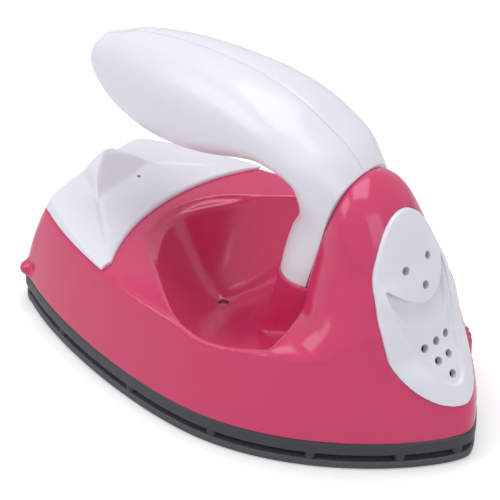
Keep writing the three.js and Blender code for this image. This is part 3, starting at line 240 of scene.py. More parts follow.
def soften(piece, grain, rounds):
    """Draws one even skin over a piece and eases its edges, as a mould does."""
    skin_step = piece.modifiers.new("even_skin", "REMESH")
    skin_step.mode = "VOXEL"
    skin_step.voxel_size = grain * MM
    ease = piece.modifiers.new("eased_edges", "SMOOTH")
    ease.factor = 0.5
    ease.iterations = rounds
    return apply_all(piece)


def trim(piece, point, normal):
    """Cuts away what lies on the normal's side of a plane and closes the cut."""
    take_up(piece)
    bpy.ops.object.mode_set(mode="EDIT")
    bpy.ops.mesh.select_all(action="SELECT")
    bpy.ops.mesh.bisect(
        plane_co=Vector(point) * MM, plane_no=normal, use_fill=True, clear_outer=True, threshold=1e-7
    )
    put_down()
    return piece


def shade(piece, angle=35):
    """Smooth shading that keeps edges sharper than an angle."""
    take_up(piece)
    bpy.ops.object.shade_smooth_by_angle(angle=math.radians(angle))
    return piece


def flowing(rows, marks, wanted):
    """Rows at the wanted marks, on smooth curves that never overshoot the given rows."""
    rows = np.asarray(rows, float)
    marks = np.asarray(marks, float)
    wanted = np.asarray(wanted, float)
    shape = rows.shape
    rows = rows.reshape(len(marks), -1)
    gaps = np.diff(marks)[:, None]
    rises = np.diff(rows, axis=0) / gaps
    tangents = np.zeros_like(rows)
    tangents[0], tangents[-1] = rises[0], rises[-1]
    before, after = rises[:-1], rises[1:]
    same_way = before * after > 0
    left, right = 2 * gaps[1:] + gaps[:-1], gaps[1:] + 2 * gaps[:-1]
    safe_before = np.where(same_way, before, 1)
    safe_after = np.where(same_way, after, 1)
    tangents[1:-1] = np.where(same_way, (left + right) / (left / safe_before + right / safe_after), 0)
    spot = np.clip(np.searchsorted(marks, wanted, side="right") - 1, 0, len(marks) - 2)
    gap = gaps[spot]
    share = (wanted[:, None] - marks[spot][:, None]) / gap
    squared, cubed = share**2, share**3
    result = (
        (2 * cubed - 3 * squared + 1) * rows[spot]
        + (cubed - 2 * squared + share) * gap * tangents[spot]
        + (3 * squared - 2 * cubed) * rows[spot + 1]
        + (cubed - squared) * gap * tangents[spot + 1]
    )
    return result.reshape((len(wanted),) + shape[1:])


def bend(points, steps):
    """Points along a cubic curve."""
    share = np.linspace(0, 1, steps + 1)[:, None]
    rest = 1 - share
    a, b, c, d = (np.asarray(point, float) for point in points)
    return rest**3 * a + 3 * rest**2 * share * b + 3 * rest * share**2 * c + share**3 * d


def evenly(line, count):
    """The same line with evenly spaced points."""
    reach = np.r_[0, np.cumsum(np.linalg.norm(np.diff(line, axis=0), axis=1))]
    wanted = np.linspace(0, reach[-1], count)
    return np.column_stack([np.interp(wanted, reach, line[:, axis]) for axis in range(line.shape[1])])


def skin(name, rings, ends="closed"):
    """A skin through rings of points: a circle is extruded ring by ring, and each is laid on its outline."""
    rings = [np.asarray(ring, float) for ring in rings]
    sides = len(rings[0])
    put_down()
    bpy.ops.mesh.primitive_circle_add(vertices=sides, radius=MM)
    piece = named(name)
    bpy.ops.object.mode_set(mode="EDIT")
    bpy.ops.mesh.select_all(action="SELECT")
    for _ in rings[1:]:
        bpy.ops.mesh.extrude_region_move(TRANSFORM_OT_translate={"value": (0, 0, MM)})
    put_down()
    loose = np.empty(3 * len(piece.data.vertices))
    piece.data.vertices.foreach_get("co", loose)
    loose = loose.reshape(-1, 3) / MM
    turn = np.mod(np.arctan2(loose[:, 1], loose[:, 0]) + 1e-4, 2 * math.pi)
    order = np.lexsort((turn, np.rint(loose[:, 2])))
    placed = np.empty_like(loose)
    placed[order] = np.vstack(rings) * MM
    piece.data.vertices.foreach_set("co", placed.ravel())
    piece.data.update()
    take_up(piece)
    bpy.ops.object.mode_set(mode="EDIT")
    bpy.ops.mesh.select_all(action="DESELECT")
    bpy.ops.mesh.select_non_manifold()
    if ends == "closed":
        bpy.ops.mesh.fill_holes(sides=0)
    else:
        bpy.ops.mesh.bridge_edge_loops()
    bpy.ops.mesh.select_all(action="SELECT")
    bpy.ops.mesh.normals_make_consistent(inside=False)
    put_down()
    return piece


def rod(name, start, end, width, sides=48):
    """A round rod between two points."""
    start, end = Vector(start) * MM, Vector(end) * MM
    axis = end - start
    put_down()
    bpy.ops.mesh.primitive_cylinder_add(
        vertices=sides,
        radius=width / 2 * MM,
        depth=axis.length,
        location=(start + end) / 2,
        rotation=axis.to_track_quat("Z", "Y").to_euler(),
    )
    return settle(named(name))


def block(name, low, high):
    """A plain block between two corners, for cutting and for hidden pads."""
    low, high = Vector(low) * MM, Vector(high) * MM
    put_down()
    bpy.ops.mesh.primitive_cube_add(size=1, location=(low + high) / 2, scale=high - low)
    return settle(named(name))


# Outlines of the body -------------------------------------------------------------------------------------


def body_half(level, wall=0.0, steps=(56, 34, 12, 8)):
    """Half outline of a body level, from the nose to the middle of the rear, drawn in by a wall."""
    _, tip, fullness, shoulder_x, shoulder_y, width, rear = level
    along, across = HALF_LENGTH - wall, HALF_WIDTH - wall
    stretch = (rear + WAIST) / (WAIST + 1)

    def behind(points):
        points = np.asarray(points, float)
        return np.column_stack(
            [(WAIST + (points[:, 0] - WAIST) * stretch) * along, points[:, 1] * width * across]
        )

    nose = bend(
        [
            [tip * along, 0],
            [tip * along, fullness * across],
            [shoulder_x * along, shoulder_y * across],
            [WAIST * along, width * across],
        ],
        steps[0],
    )
    flank = bend(behind(FLANK), steps[1])[1:]
    corner = bend(behind(CORNER), steps[2])[1:]
    rear_end = behind([[-1, 0]])[0]
    share = np.linspace(0, 1, steps[3] + 1)[1:, None]
    edge = corner[-1] * (1 - share) + rear_end * share
    return np.vstack([nose, flank, corner, edge])


def ring_from_half(half, height):
    """The whole ring of a half outline, at a height."""
    mirrored = half[1:-1][::-1] * [1, -1]
    plan = np.vstack([half, mirrored])
    return np.column_stack([plan, np.full(len(plan), height)])


def seam_x(height):
    """Where the hood's rear face stands at a height."""
    if height < FOOT:
        return HOOD_REAR
    rise = (height - SEAM_LOW[1]) / (SEAM_HIGH[1] - SEAM_LOW[1])
    return SEAM_LOW[0] + (SEAM_HIGH[0] - SEAM_LOW[0]) * rise


def round_ring(rear, front, width, power, height, steps):
    """A rounded oblong ring in plan, with its own ends and half width."""
    turn = 2 * math.pi * np.arange(steps) / steps
    along = np.sign(np.cos(turn)) * np.abs(np.cos(turn)) ** (2 / power)
    across = np.sign(np.sin(turn)) * np.abs(np.sin(turn)) ** (2 / power)
    return np.column_stack(
        [(rear + front) / 2 + (front - rear) / 2 * along, width * across, np.full(steps, height)]
    )


NOSE_POINTS = 64
STRAIGHT_DOWN = 5.0


def nose_half(level, wall):
    """The part of a body level in front of the hood's rear face."""
    line = body_half(level, wall)
    keep = np.argmax(line[:, 0] < HOOD_REAR)
    (x0, y0), (x1, y1) = line[keep - 1], line[keep]
    share = (HOOD_REAR - x0) / (x1 - x0)
    return evenly(np.vstack([line[:keep], [HOOD_REAR, y0 + (y1 - y0) * share]]), NOSE_POINTS)


def hood_half(level, wall):
    """Half outline of a hood level, from the nose to the rear face."""
    height, tip, fullness, flank_x, flank_y, width = level
    rear = seam_x(height * (HOOD - wall))
    least = abs(wall) / 8
    line = bend(
        [
            [tip * HALF_LENGTH - wall, 0],
            [tip * HALF_LENGTH - wall, max(fullness * HALF_WIDTH - wall, least)],
            [flank_x * HALF_LENGTH - wall, max(flank_y * HALF_WIDTH - wall, least)],
            [rear, max(width * HALF_WIDTH - wall, least)],
        ],
        80,
    )
    return evenly(line, NOSE_POINTS)


def nose_form(name, wall, levels=90):
    """The nose and hood as one flowing form, drawn in by a wall."""
    deck = RIM - wall
    marks = [STRAIGHT_DOWN] + [SHELL_FOOT + level[0] * (deck - SHELL_FOOT) for level in BODY_LEVELS]
    lines = [nose_half(BODY_LEVELS[0], wall)] + [nose_half(level, wall) for level in BODY_LEVELS]
    marks += [level[0] * (HOOD - wall) for level in HOOD_LEVELS]
    lines += [hood_half(level, wall) for level in HOOD_LEVELS]
    order = np.argsort(marks, kind="stable")
    marks, lines = np.array(marks)[order], np.array(lines)[order]
    heights = np.linspace(marks[0], marks[-1], levels)
    rings = []
    for height, half in zip(heights, flowing(lines, marks, heights)):
        plan = np.vstack([half, half[1:][::-1] * [1, -1]])
        rings.append(np.column_stack([plan, np.full(len(plan), height)]))
    return skin(name, rings)


def dish_height(x, y):
    """The height of the body's upper surface over a point of its plan: deck, ledge and dish."""
    turn = np.degrees(np.arctan2(np.abs(y), x - BOWL_SCREW_X))
    turns = np.arange(-40, 221)
    folded = 180 - np.abs(180 - np.abs(turns))
    rows = flowing([row[1:] for row in DISH_RIM], [row[0] for row in DISH_RIM], folded)
    spread = np.exp(-((np.arange(-DISH_EASE_REACH, DISH_EASE_REACH + 1) / DISH_EASE) ** 2) / 2)
    rim, high, hollow = (
        np.interp(turn, turns, np.convolve(column, spread / spread.sum(), "same")) for column in rows.T
    )
    share = np.hypot(x - BOWL_SCREW_X, y) / rim
    dish = DISH_FLOOR + (high - DISH_FLOOR) * share**hollow
    reach = np.hypot(x - LEDGE_X, y)
    turn = np.arctan2(np.abs(y), x - LEDGE_X)
    fade = np.clip((turn - LEDGE_TURN) / LEDGE_TURN_SPREAD, 0, 1)
    fade = fade * fade * (3 - 2 * fade)
    inner = LEDGE_OUT - (LEDGE_OUT - LEDGE_IN) * fade
    rise = np.maximum(reach - inner - LEDGE_WIDTH, 0) * LEDGE_RISE
    ledge = LEDGE_TOP - LEDGE_DEPTH * fade + rise * fade
    ledge = np.where(reach > inner - 1, ledge, ABOVE_ALL)
    top = np.where(fade > 0, lower_of(dish, ledge, LEDGE_BLEND), dish)
    return np.minimum(top, RIM + DECK_CLEARANCE)


def height_solid(name, x, y, z, level):
    """A closed solid between a surface given on a grid of spots and a level."""
    rows, columns = x.shape
    put_down()
    bpy.ops.mesh.primitive_grid_add(x_subdivisions=columns - 1, y_subdivisions=rows - 1, size=1)
    piece = named(name)
    loose = np.empty(3 * len(piece.data.vertices))
    piece.data.vertices.foreach_get("co", loose)
    loose = loose.reshape(-1, 3)
    column = np.rint((loose[:, 0] + 0.5) * (columns - 1)).astype(int)
    row = np.rint((loose[:, 1] + 0.5) * (rows - 1)).astype(int)
    spots = np.column_stack([x[row, column], y[row, column], z[row, column]]) * MM
    piece.data.vertices.foreach_set("co", spots.ravel())
    take_up(piece)
    bpy.ops.object.mode_set(mode="EDIT")
    bpy.ops.mesh.select_all(action="SELECT")
    bpy.ops.mesh.extrude_region_move(TRANSFORM_OT_translate={"value": (0, 0, 0)})
    put_down()
    for corner in piece.data.vertices:
        if corner.select:
            corner.co.z = level * MM
    take_up(piece)
    bpy.ops.object.mode_set(mode="EDIT")
    bpy.ops.mesh.select_all(action="SELECT")
    bpy.ops.mesh.normals_make_consistent(inside=False)
    put_down()
    return piece


def dish_form(name, wall=0.0, grain=0.5):
    """All that is above the dish's surface under the handle; a wall makes it larger."""
    across = np.linspace(-38.5, 38.5, int(77 / grain) + 1)
    along = np.linspace(-34.5 - wall, HOOD_REAR + wall, int(59 / grain) + 1)
    x, y = np.meshgrid(along, across)
    z = dish_height(x.ravel(), y.ravel()).reshape(x.shape)
    return height_solid(name, x, y, z - wall, ABOVE_ALL)


def neck_form(name, levels=24):
    """The neck that carries the handle's foot."""
    marks = [row[0] * FOOT for row in NECK_LEVELS]
    heights = np.linspace(marks[0], marks[-1] - SEAT, levels)
    rows = flowing([row[1:] for row in NECK_LEVELS], marks, heights)
    return skin(
        name,
        [
            round_ring(rear * HALF_LENGTH, HOOD_REAR + 4, width * HALF_WIDTH, NECK_ROUND, height, 72)
            for height, (rear, width) in zip(heights, rows)
        ],
    )


def smooth_line(points, steps, closed=False):
    """A smooth line through points, closed or open."""
    points = np.asarray(points, float)
    if closed:
        points = np.vstack([points[-1], points, points[:2]])
    else:
        points = np.vstack([2 * points[0] - points[1], points, 2 * points[-1] - points[-2]])
    share = (np.arange(steps) / steps)[:, None]
    parts = []
    for p0, p1, p2, p3 in zip(points, points[1:], points[2:], points[3:]):
        parts.append(
            p1
            + (p2 - p0) / 2 * share
            + (p0 - 2.5 * p1 + 2 * p2 - p3 / 2) * share**2
            + (1.5 * (p1 - p2) + (p3 - p0) / 2) * share**3
        )
    if not closed:
        parts.append(points[-2:-1])
    return np.vstack(parts)


def front_bar(name, outline, rear, front=90.0):
    """A bar along the iron whose section is an outline of across and height."""
    outline = np.asarray(outline, float)
    return skin(name, [np.column_stack([np.full(len(outline), x), outline]) for x in (rear, front)])


def tall_bar(name, plan, low, high):
    """An upright bar over a plan outline."""
    plan = np.asarray(plan, float)
    return skin(name, [np.column_stack([plan, np.full(len(plan), z)]) for z in (low, high)])


def lower_of(first, second, blend):
    """The lower of two heights, with the meeting line eased."""
    share = np.clip(0.5 + (second - first) / (2 * blend), 0, 1)
    return second * (1 - share) + first * share - blend * share * (1 - share)


def higher_of(first, second, blend):
    return -lower_of(-first, -second, blend)


# Finishes -------------------------------------------------------------------------------------------------


def finish(
    name, colour, roughness, metal=0.0, mottle=0.03, mottle_scale=90, grain=0.02, grain_scale=1500, coat=0.0
):
    """A moulded or metal finish with a faint mottle in its colour, uneven gloss and a fine surface grain."""
    material = bpy.data.materials.new(name)
    material.use_nodes = True
    nodes, links = material.node_tree.nodes, material.node_tree.links
    shader = nodes["Principled BSDF"]
    shader.inputs["Metallic"].default_value = metal
    shader.inputs["Coat Weight"].default_value = coat
    shader.inputs["Coat Roughness"].default_value = 0.08
    place = nodes.new("ShaderNodeTexCoord")
    clouds = nodes.new("ShaderNodeTexNoise")
    clouds.inputs["Scale"].default_value = mottle_scale
    clouds.inputs["Detail"].default_value = 4
    links.new(place.outputs["Object"], clouds.inputs["Vector"])
    tint = nodes.new("ShaderNodeMix")
    tint.data_type = "RGBA"
    darker = [channel * (1 - mottle) for channel in colour]
    lighter = [min(1, channel * (1 + mottle)) for channel in colour]
    tint.inputs[6].default_value = (*darker, 1)
    tint.inputs[7].default_value = (*lighter, 1)
    links.new(clouds.outputs["Fac"], tint.inputs[0])
    links.new(tint.outputs[2], shader.inputs["Base Color"])
    gloss = nodes.new("ShaderNodeMapRange")
    gloss.inputs["To Min"].default_value = roughness * 0.85
    gloss.inputs["To Max"].default_value = roughness * 1.15
    links.new(clouds.outputs["Fac"], gloss.inputs["Value"])
    links.new(gloss.outputs["Result"], shader.inputs["Roughness"])
    fine = nodes.new("ShaderNodeTexNoise")
    fine.inputs["Scale"].default_value = grain_scale
    fine.inputs["Detail"].default_value = 3
    links.new(place.outputs["Object"], fine.inputs["Vector"])
    bump = nodes.new("ShaderNodeBump")
    bump.inputs["Strength"].default_value = grain
    bump.inputs["Distance"].default_value = 0.1 * MM
    links.new(fine.outputs["Fac"], bump.inputs["Height"])
    links.new(bump.outputs["Normal"], shader.inputs["Normal"])
    return material


FINISHES = {
    "pink_shell": finish("pink_shell", (0.63, 0.036, 0.135), 0.16, mottle=0.015, grain=0.02),
    "pink_wheel": finish("pink_wheel", (0.56, 0.06, 0.16), 0.3, grain=0.1),
    "white_shell": finish("white_shell", (0.78, 0.78, 0.85), 0.24, mottle=0.01, grain=0.03),
    "dark_skirt": finish("dark_skirt", (0.032, 0.035, 0.043), 0.45, mottle=0.15, grain=0.3),
    "coated_plate": finish(
        "coated_plate", (0.075, 0.072, 0.085), 0.5, mottle=0.5, mottle_scale=1400, grain=0.5
    ),
    "steel": finish("steel", (0.62, 0.62, 0.64), 0.3, metal=1, mottle=0.1, grain=0.15),
    "sheath": finish("sheath", (0.3, 0.28, 0.26), 0.5, metal=1, mottle=0.3, grain=0.3),
    "ceramic": finish("ceramic", (0.8, 0.76, 0.66), 0.6, mottle=0.06, grain=0.3),
    "brass": finish("brass", (0.7, 0.5, 0.2), 0.3, metal=1, mottle=0.12, grain=0.1),
    "mica": finish("mica", (0.55, 0.45, 0.27), 0.35, mottle=0.25, mottle_scale=300, grain=0.4),
    "dark_rubber": finish("dark_rubber", (0.02, 0.02, 0.022), 0.6, mottle=0.2, grain=0.3),
    "sleeve": finish(
        "sleeve", (0.78, 0.75, 0.68), 0.8, mottle=0.15, mottle_scale=2500, grain=0.8, grain_scale=2500
    ),
    "fuse_case": finish("fuse_case", (0.68, 0.6, 0.48), 0.5, mottle=0.08, grain=0.2),
    "lamp_red": finish("lamp_red", (0.6, 0.03, 0.025), 0.12, mottle=0.05, grain=0.02, coat=0.5),
    "lamp_green": finish("lamp_green", (0.06, 0.42, 0.1), 0.12, mottle=0.05, grain=0.02, coat=0.5),
    "board": finish("board", (0.04, 0.18, 0.08), 0.35, mottle=0.15, mottle_scale=400, grain=0.2),
    "wire_brown": finish("wire_brown", (0.16, 0.06, 0.025), 0.45, mottle=0.1, grain=0.1),
    "wire_blue": finish("wire_blue", (0.03, 0.12, 0.38), 0.45, mottle=0.1, grain=0.1),
    "wire_white": finish("wire_white", (0.74, 0.73, 0.69), 0.45, mottle=0.06, grain=0.1),
}


def place_on(piece, slot_name, body, *replaced):
    """Gives a finished piece its material and its body, and hides the nodes that it stands for."""
    piece.data.materials.clear()
    piece.data.materials.append(FINISHES[slot_name])
    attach(piece, body)
    if replaced:
        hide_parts(*replaced)
    return piece


# Camera, light and floor ----------------------------------------------------------------------------------

AZIMUTH, ELEVATION, DISTANCE = math.radians(39.5), math.radians(36.1), 1.1
back = Vector(
    (
        math.sin(AZIMUTH) * math.cos(ELEVATION),
        -math.cos(AZIMUTH) * math.cos(ELEVATION),
        math.sin(ELEVATION),
    )
)
right = Vector((math.cos(AZIMUTH), math.sin(AZIMUTH), 0))
upward = back.cross(right)
camera_data = bpy.data.cameras.new("camera")
camera_data.lens = 312.8
camera_data.sensor_width = 36
SHIFT_RIGHT, SHIFT_UP = -3.72, 26.48
camera = bpy.data.objects.new("camera", camera_data)
stand = back * DISTANCE + right * SHIFT_RIGHT * MM + upward * SHIFT_UP * MM
camera.matrix_world = Matrix.Translation(stand) @ Matrix((right, upward, back)).transposed().to_4x4()
bpy.context.scene.collection.objects.link(camera)
bpy.context.scene.camera = camera
bpy.context.scene.view_settings.view_transform = "Standard"


def soft_light(name, power, size, place, aim=(0, 0, 30)):
    data = bpy.data.lights.new(name, "AREA")
    data.shape = "RECTANGLE"
    data.size, data.size_y = size
    data.energy = power
    light = bpy.data.objects.new(name, data)
    light.location = Vector(place) * MM
    light.rotation_euler = (Vector(place) - Vector(aim)).to_track_quat("Z", "Y").to_euler()
    bpy.context.scene.collection.objects.link(light)


soft_light("top_light", 4.4, (0.7, 0.7), (-60, 60, 900))
soft_light("left_light", 2.3, (0.5, 0.6), (-500, -650, 560))
soft_light("front_light", 1.2, (0.5, 0.5), (760, -200, 420))

world = bpy.data.worlds.new("studio")
world.use_nodes = True
bpy.context.scene.world = world
nodes, links = world.node_tree.nodes, world.node_tree.links
nodes.clear()
rays = nodes.new("ShaderNodeLightPath")
seen = nodes.new("ShaderNodeMath")
seen.operation = "MAXIMUM"
seen_through = nodes.new("ShaderNodeMath")
seen_through.operation = "MAXIMUM"
links.new(rays.outputs["Is Camera Ray"], seen.inputs[0])
links.new(rays.outputs["Is Glossy Ray"], seen.inputs[1])
links.new(seen.outputs[0], seen_through.inputs[0])
links.new(rays.outputs["Is Transmission Ray"], seen_through.inputs[1])
ambient = nodes.new("ShaderNodeBackground")
ambient.inputs["Color"].default_value = (0.96, 0.97, 1, 1)
ambient.inputs["Strength"].default_value = 0.4
backdrop = nodes.new("ShaderNodeBackground")
backdrop.inputs["Color"].default_value = (1, 1, 1, 1)
backdrop.inputs["Strength"].default_value = 1
either = nodes.new("ShaderNodeMixShader")
output = nodes.new("ShaderNodeOutputWorld")
links.new(seen_through.outputs[0], either.inputs[0])
links.new(ambient.outputs[0], either.inputs[1])
links.new(backdrop.outputs[0], either.inputs[2])
links.new(either.outputs[0], output.inputs["Surface"])

put_down()
bpy.ops.mesh.primitive_plane_add(size=4, location=(0, 0, -0.02 * MM))
floor = named("floor")
paper = bpy.data.materials.new("paper")
paper.use_nodes = True
nodes, links = paper.node_tree.nodes, paper.node_tree.links
matt = nodes["Principled BSDF"]
matt.inputs["Base Color"].default_value = (0.93, 0.93, 0.93, 1)
matt.inputs["Roughness"].default_value = 0.9
matt.inputs["Specular IOR Level"].default_value = 0
glow = nodes.new("ShaderNodeEmission")
glow.inputs["Color"].default_value = (1, 1, 1, 1)
camera_only = nodes.new("ShaderNodeLightPath")
level = nodes.new("ShaderNodeMath")
level.operation = "MULTIPLY"
level.inputs[1].default_value = 0.25
both = nodes.new("ShaderNodeAddShader")
links.new(camera_only.outputs["Is Camera Ray"], level.inputs[0])
links.new(level.outputs[0], glow.inputs["Strength"])
links.new(matt.outputs[0], both.inputs[0])
links.new(glow.outputs[0], both.inputs[1])
links.new(both.outputs[0], nodes["Material Output"].inputs["Surface"])
floor.data.materials.append(paper)


# Soleplate ------------------------------------------------------------------------------------------------



def stack(profile):
    """Rings of the plate's outline, each with its inset and height."""
    return [ring_from_half(body_half(PLATE_LEVEL, inset), height) for inset, height in profile]


PLATE_PROFILE = [(1.3, 0), (0.75, 0.08), (0.42, 0.3), (0.3, 0.65), (0.3, 2.1), (0.38, 2.3), (0.6, 2.4)]
INSIDE_PLATE = 1.2
plate = skin("ironing_plate", stack(PLATE_PROFILE))
WHEEL_LOW, WHEEL_HIGH = (Vector(corner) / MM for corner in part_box("temperature_wheel"))
WHEEL_X, WHEEL_Y = (WHEEL_LOW.x + WHEEL_HIGH.x) / 2, (WHEEL_LOW.y + WHEEL_HIGH.y) / 2
PAD_LOW, PAD_HIGH = (Vector(corner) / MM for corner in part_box("thermostat_bracket"))
POST_WIDTH, POST_TOP = 7, 8.2
SCREW_HOLE, SCREW_HOLE_FOOT = 2.1, 3.2
PAD_GAP = 0.05


def over_screw(low, high):
    """Two points on the bowl screw's axis."""
    return (BOWL_SCREW_X, 0, low), (BOWL_SCREW_X, 0, high)


plate = join(plate, rod("post", *over_screw(INSIDE_PLATE, POST_TOP), POST_WIDTH))
plate = cut(plate, rod("post_hole", *over_screw(SCREW_HOLE_FOOT, 9), SCREW_HOLE))
pad = block("pad", (PAD_LOW.x, PAD_LOW.y, INSIDE_PLATE), (PAD_HIGH.x, PAD_HIGH.y, PAD_LOW.z - PAD_GAP))
plate = join(plate, pad)
place_on(shade(plate, 50), "coated_plate", "iron", "soleplate")

# Heat skirt on its nubs
SKIRT_PROFILE = [
    (3.2, 4.5), (0.3, 4.5), (0.08, 4.58), (0, 4.8), (0, 7.4), (0.12, 7.85), (0.45, 8.1), (3.2, 8.1),
]
skirt = skin("heat_skirt_ring", stack(SKIRT_PROFILE), ends="joined")
NUB_INSET, NUB_STEPS, NUB_EVERY = 1.8, (11, 7, 3, 3), 3
NUB_FOOT, NUB_TOP, NUB_WIDTH = 2.55, 5.5, 3
nubs = []
for x, y in body_half(PLATE_LEVEL, NUB_INSET, NUB_STEPS)[1::NUB_EVERY]:
    for side in (y, -y):
        nubs.append(rod("nub", (x, side, NUB_FOOT), (x, side, NUB_TOP), NUB_WIDTH, 20))
skirt = lump(skirt, *nubs)
place_on(shade(skirt, 40), "dark_skirt", "iron", "heat_skirt")


# Body: tub, hood, dish and neck under one eased skin
def tub_form(name, wall):
    """The open part of the body behind the hood, drawn in by a wall."""
    deck = RIM - wall
    heights = np.r_[STRAIGHT_DOWN, np.linspace(SHELL_FOOT, deck, 26)]
    marks = [STRAIGHT_DOWN] + [SHELL_FOOT + row[0] * (deck - SHELL_FOOT) for row in BODY_LEVELS]
    rows = flowing([BODY_LEVELS[0]] + BODY_LEVELS, marks, heights)
    tub = skin(name, [ring_from_half(body_half(row, wall), height) for row, height in zip(rows, heights)])
    return trim(tub, (HOOD_REAR + 2 + 2 * wall, 0, 0), (1, 0, 0))


# Lines of the nose panel from its middle outward: across and height
PANEL_EDGE = [
    [0, 63.6], [2.4, 63.2], [4.4, 62.2], [6.3, 60.5], [8, 58.2], [9.6, 55.4], [11, 52.4], [12.1, 49],
    [12.8, 46], [13.5, 42], [13.9, 37.6], [14, 33], [13.5, 28.6], [12.1, 24.4], [9.8, 20.8], [6.8, 18.1],
    [3.5, 16.7], [0, 16.2],
]
PANEL_HALF = 14
FIELD_EDGE = [
    [10.7, 52], [10.7, 47.5], [10.5, 44], [10.1, 40.3], [9.5, 36.8], [8.6, 33.6], [7.5, 30.9], [6.5, 28.4],
    [5.5, 26], [4.1, 23.6], [2.3, 21.7], [0, 21],
]
CRESCENT_TOP = [[10.5, 47.6], [8.6, 45.8], [6.8, 44.4], [5, 43.2], [2.6, 42.2], [0, 41.7]]
CRESCENT_FOOT = [[10.8, 46], [9.8, 42.8], [8.2, 39.3], [6.3, 36.9], [4.5, 35.3], [2.5, 34.3], [0, 33.9]]
PANEL_REAR = 0.552 * HALF_LENGTH


def both_sides(edge, closed, steps=8):
    """A smooth line over the panel, the same on both sides of its middle."""
    inner = slice(-2, 0, -1) if closed else slice(-2, None, -1)
    return smooth_line(edge + [[-across, height] for across, height in edge[inner]], steps, closed)


def panel_outline(grow):
    """The panel's outline as across and height, grown all round."""
    line = both_sides(PANEL_EDGE, True)
    middle = np.array([0, (PANEL_EDGE[0][1] + PANEL_EDGE[-1][1]) / 2])
    half = np.array([PANEL_HALF, PANEL_EDGE[0][1] - middle[1]])
    return middle + (line - middle) * (half + grow) / half


WALL = 2
BODY_GRAIN, BODY_ROUNDS = 0.6, 6
body = lump(tub_form("pink_body", 0), nose_form("nose", 0))
body.name = body.data.name = "pink_body"
body = soften(body, 0.7, 0)
body = cut(body, dish_form("dish"))
HEEL_PLACE, HEEL_RADIUS, HEEL_FLATNESS = (-61.6, 20.4, 10.25), 2.3, 0.87
heels = []
for side in (1, -1):
    put_down()
    bpy.ops.mesh.primitive_uv_sphere_add(
        segments=24,
        ring_count=16,
        radius=HEEL_RADIUS * MM,
        location=(HEEL_PLACE[0] * MM, side * HEEL_PLACE[1] * MM, HEEL_PLACE[2] * MM),
        scale=(1, 1, HEEL_FLATNESS),
    )
    heels.append(settle(named("heel")))
body = lump(body, neck_form("neck"), *heels)
body = soften(body, BODY_GRAIN, BODY_ROUNDS)
body = trim(body, (0, 0, SHELL_FOOT), (0, 0, -1))

# Slot for the wheel, then the hollow, the screw's sink and passage, and the openings
SLOT_BELOW, SLOT_ABOVE, SLOT_ROUND = 0.72, 0.73, 1.43
slot_low = (WHEEL_X, WHEEL_Y, WHEEL_LOW.z - SLOT_BELOW)
slot_high = (WHEEL_X, WHEEL_Y, WHEEL_HIGH.z + SLOT_ABOVE)
body = cut(body, rod("wheel_slot", slot_low, slot_high, WHEEL_HIGH.x - WHEEL_LOW.x + SLOT_ROUND, 88))
hollow = lump(tub_form("hollow", WALL), nose_form("nose_hollow", WALL))
hollow = soften(hollow, 1.2, 2)
hollow = cut(hollow, dish_form("dish_wall", WALL, 1))
body = cut(body, hollow)
SINK_FLOOR, SINK_WIDTH = 8.75, 2.7
DECK_OPENING = (-54.27, -8.47, 26.05), (-39.43, 8.47, 31)
RECESS_DEPTH, RECESS_GAP, RECESS_LEDGE = 1.05, 0.15, 1.6
body = cut(body, rod("screw_sink", *over_screw(SINK_FLOOR, 14), SINK_WIDTH))
body = cut(body, rod("screw_passage", *over_screw(7, 9.5), SCREW_HOLE))
body = cut(body, block("deck_opening", *DECK_OPENING))
recess = front_bar("recess", panel_outline(RECESS_GAP), PANEL_REAR)
recess = cut(recess, nose_form("recess_floor", RECESS_DEPTH))
body = cut(body, recess)
body = cut(body, front_bar("opening", panel_outline(-RECESS_LEDGE), PANEL_REAR))
place_on(shade(body, 50), "pink_shell", "iron", "body_shell")

# Screw in the dish's floor
HEAD_FOOT, HEAD_TOP, HEAD_WIDTH = 8.78, 9.2, 2.3
SHANK_FOOT, SHANK_WIDTH = 3.8, 1.8
CROSS_FLOOR, CROSS_LONG, CROSS_SHORT = 8.9, 0.75, 0.2
screw = join(
    rod("dish_screw", *over_screw(HEAD_FOOT, HEAD_TOP), HEAD_WIDTH),
    rod("shank", *over_screw(SHANK_FOOT, CROSS_FLOOR), SHANK_WIDTH),
)
for along, across in ((CROSS_LONG, CROSS_SHORT), (CROSS_SHORT, CROSS_LONG)):
    low = (BOWL_SCREW_X - along, -across, CROSS_FLOOR)
    screw = cut(screw, block("cross", low, (BOWL_SCREW_X + along, across, 9.5)))
place_on(shade(screw, 40), "steel", "iron", "bowl_screw")

# Nose panel: raised border, sunk field, crescent and vents
PANEL_PROUD, PANEL_LEVELS, PANEL_BACK = 0.5, 110, 1.8
BORDER_WIDTH, BORDER_DEPTH = 1.75, 0.9
FIELD_DEPTH, CRESCENT_DEPTH = 0.35, 0.25
CRESCENT_FROM, CRESCENT_SLOPE = 34, 0.2
PANEL_GRAIN, PANEL_ROUNDS = 0.24, 9
panel = nose_form("vent_panel", -PANEL_PROUD, PANEL_LEVELS)
panel = meet(panel, front_bar("panel_bar", panel_outline(0), PANEL_REAR))
border = front_bar("border", panel_outline(3), 0, 80)
border = cut(border, front_bar("inside_border", panel_outline(-BORDER_WIDTH), 0, 80))
panel = cut(panel, meet(border, nose_form("border_floor", BORDER_DEPTH)))
panel = cut(panel, nose_form("panel_back", PANEL_BACK))
crescent_line = both_sides(CRESCENT_TOP, False)
field_line = both_sides(FIELD_EDGE, False)
crescent_above = np.interp(field_line[:, 0], crescent_line[::-1, 0], crescent_line[::-1, 1])
below = field_line[field_line[:, 1] < crescent_above]
field = front_bar("field", np.vstack([below, crescent_line[::-1][1:-1]]), PANEL_REAR)
panel = cut(panel, cut(field, nose_form("field_floor", FIELD_DEPTH)))
panel = soften(panel, PANEL_GRAIN, PANEL_ROUNDS)
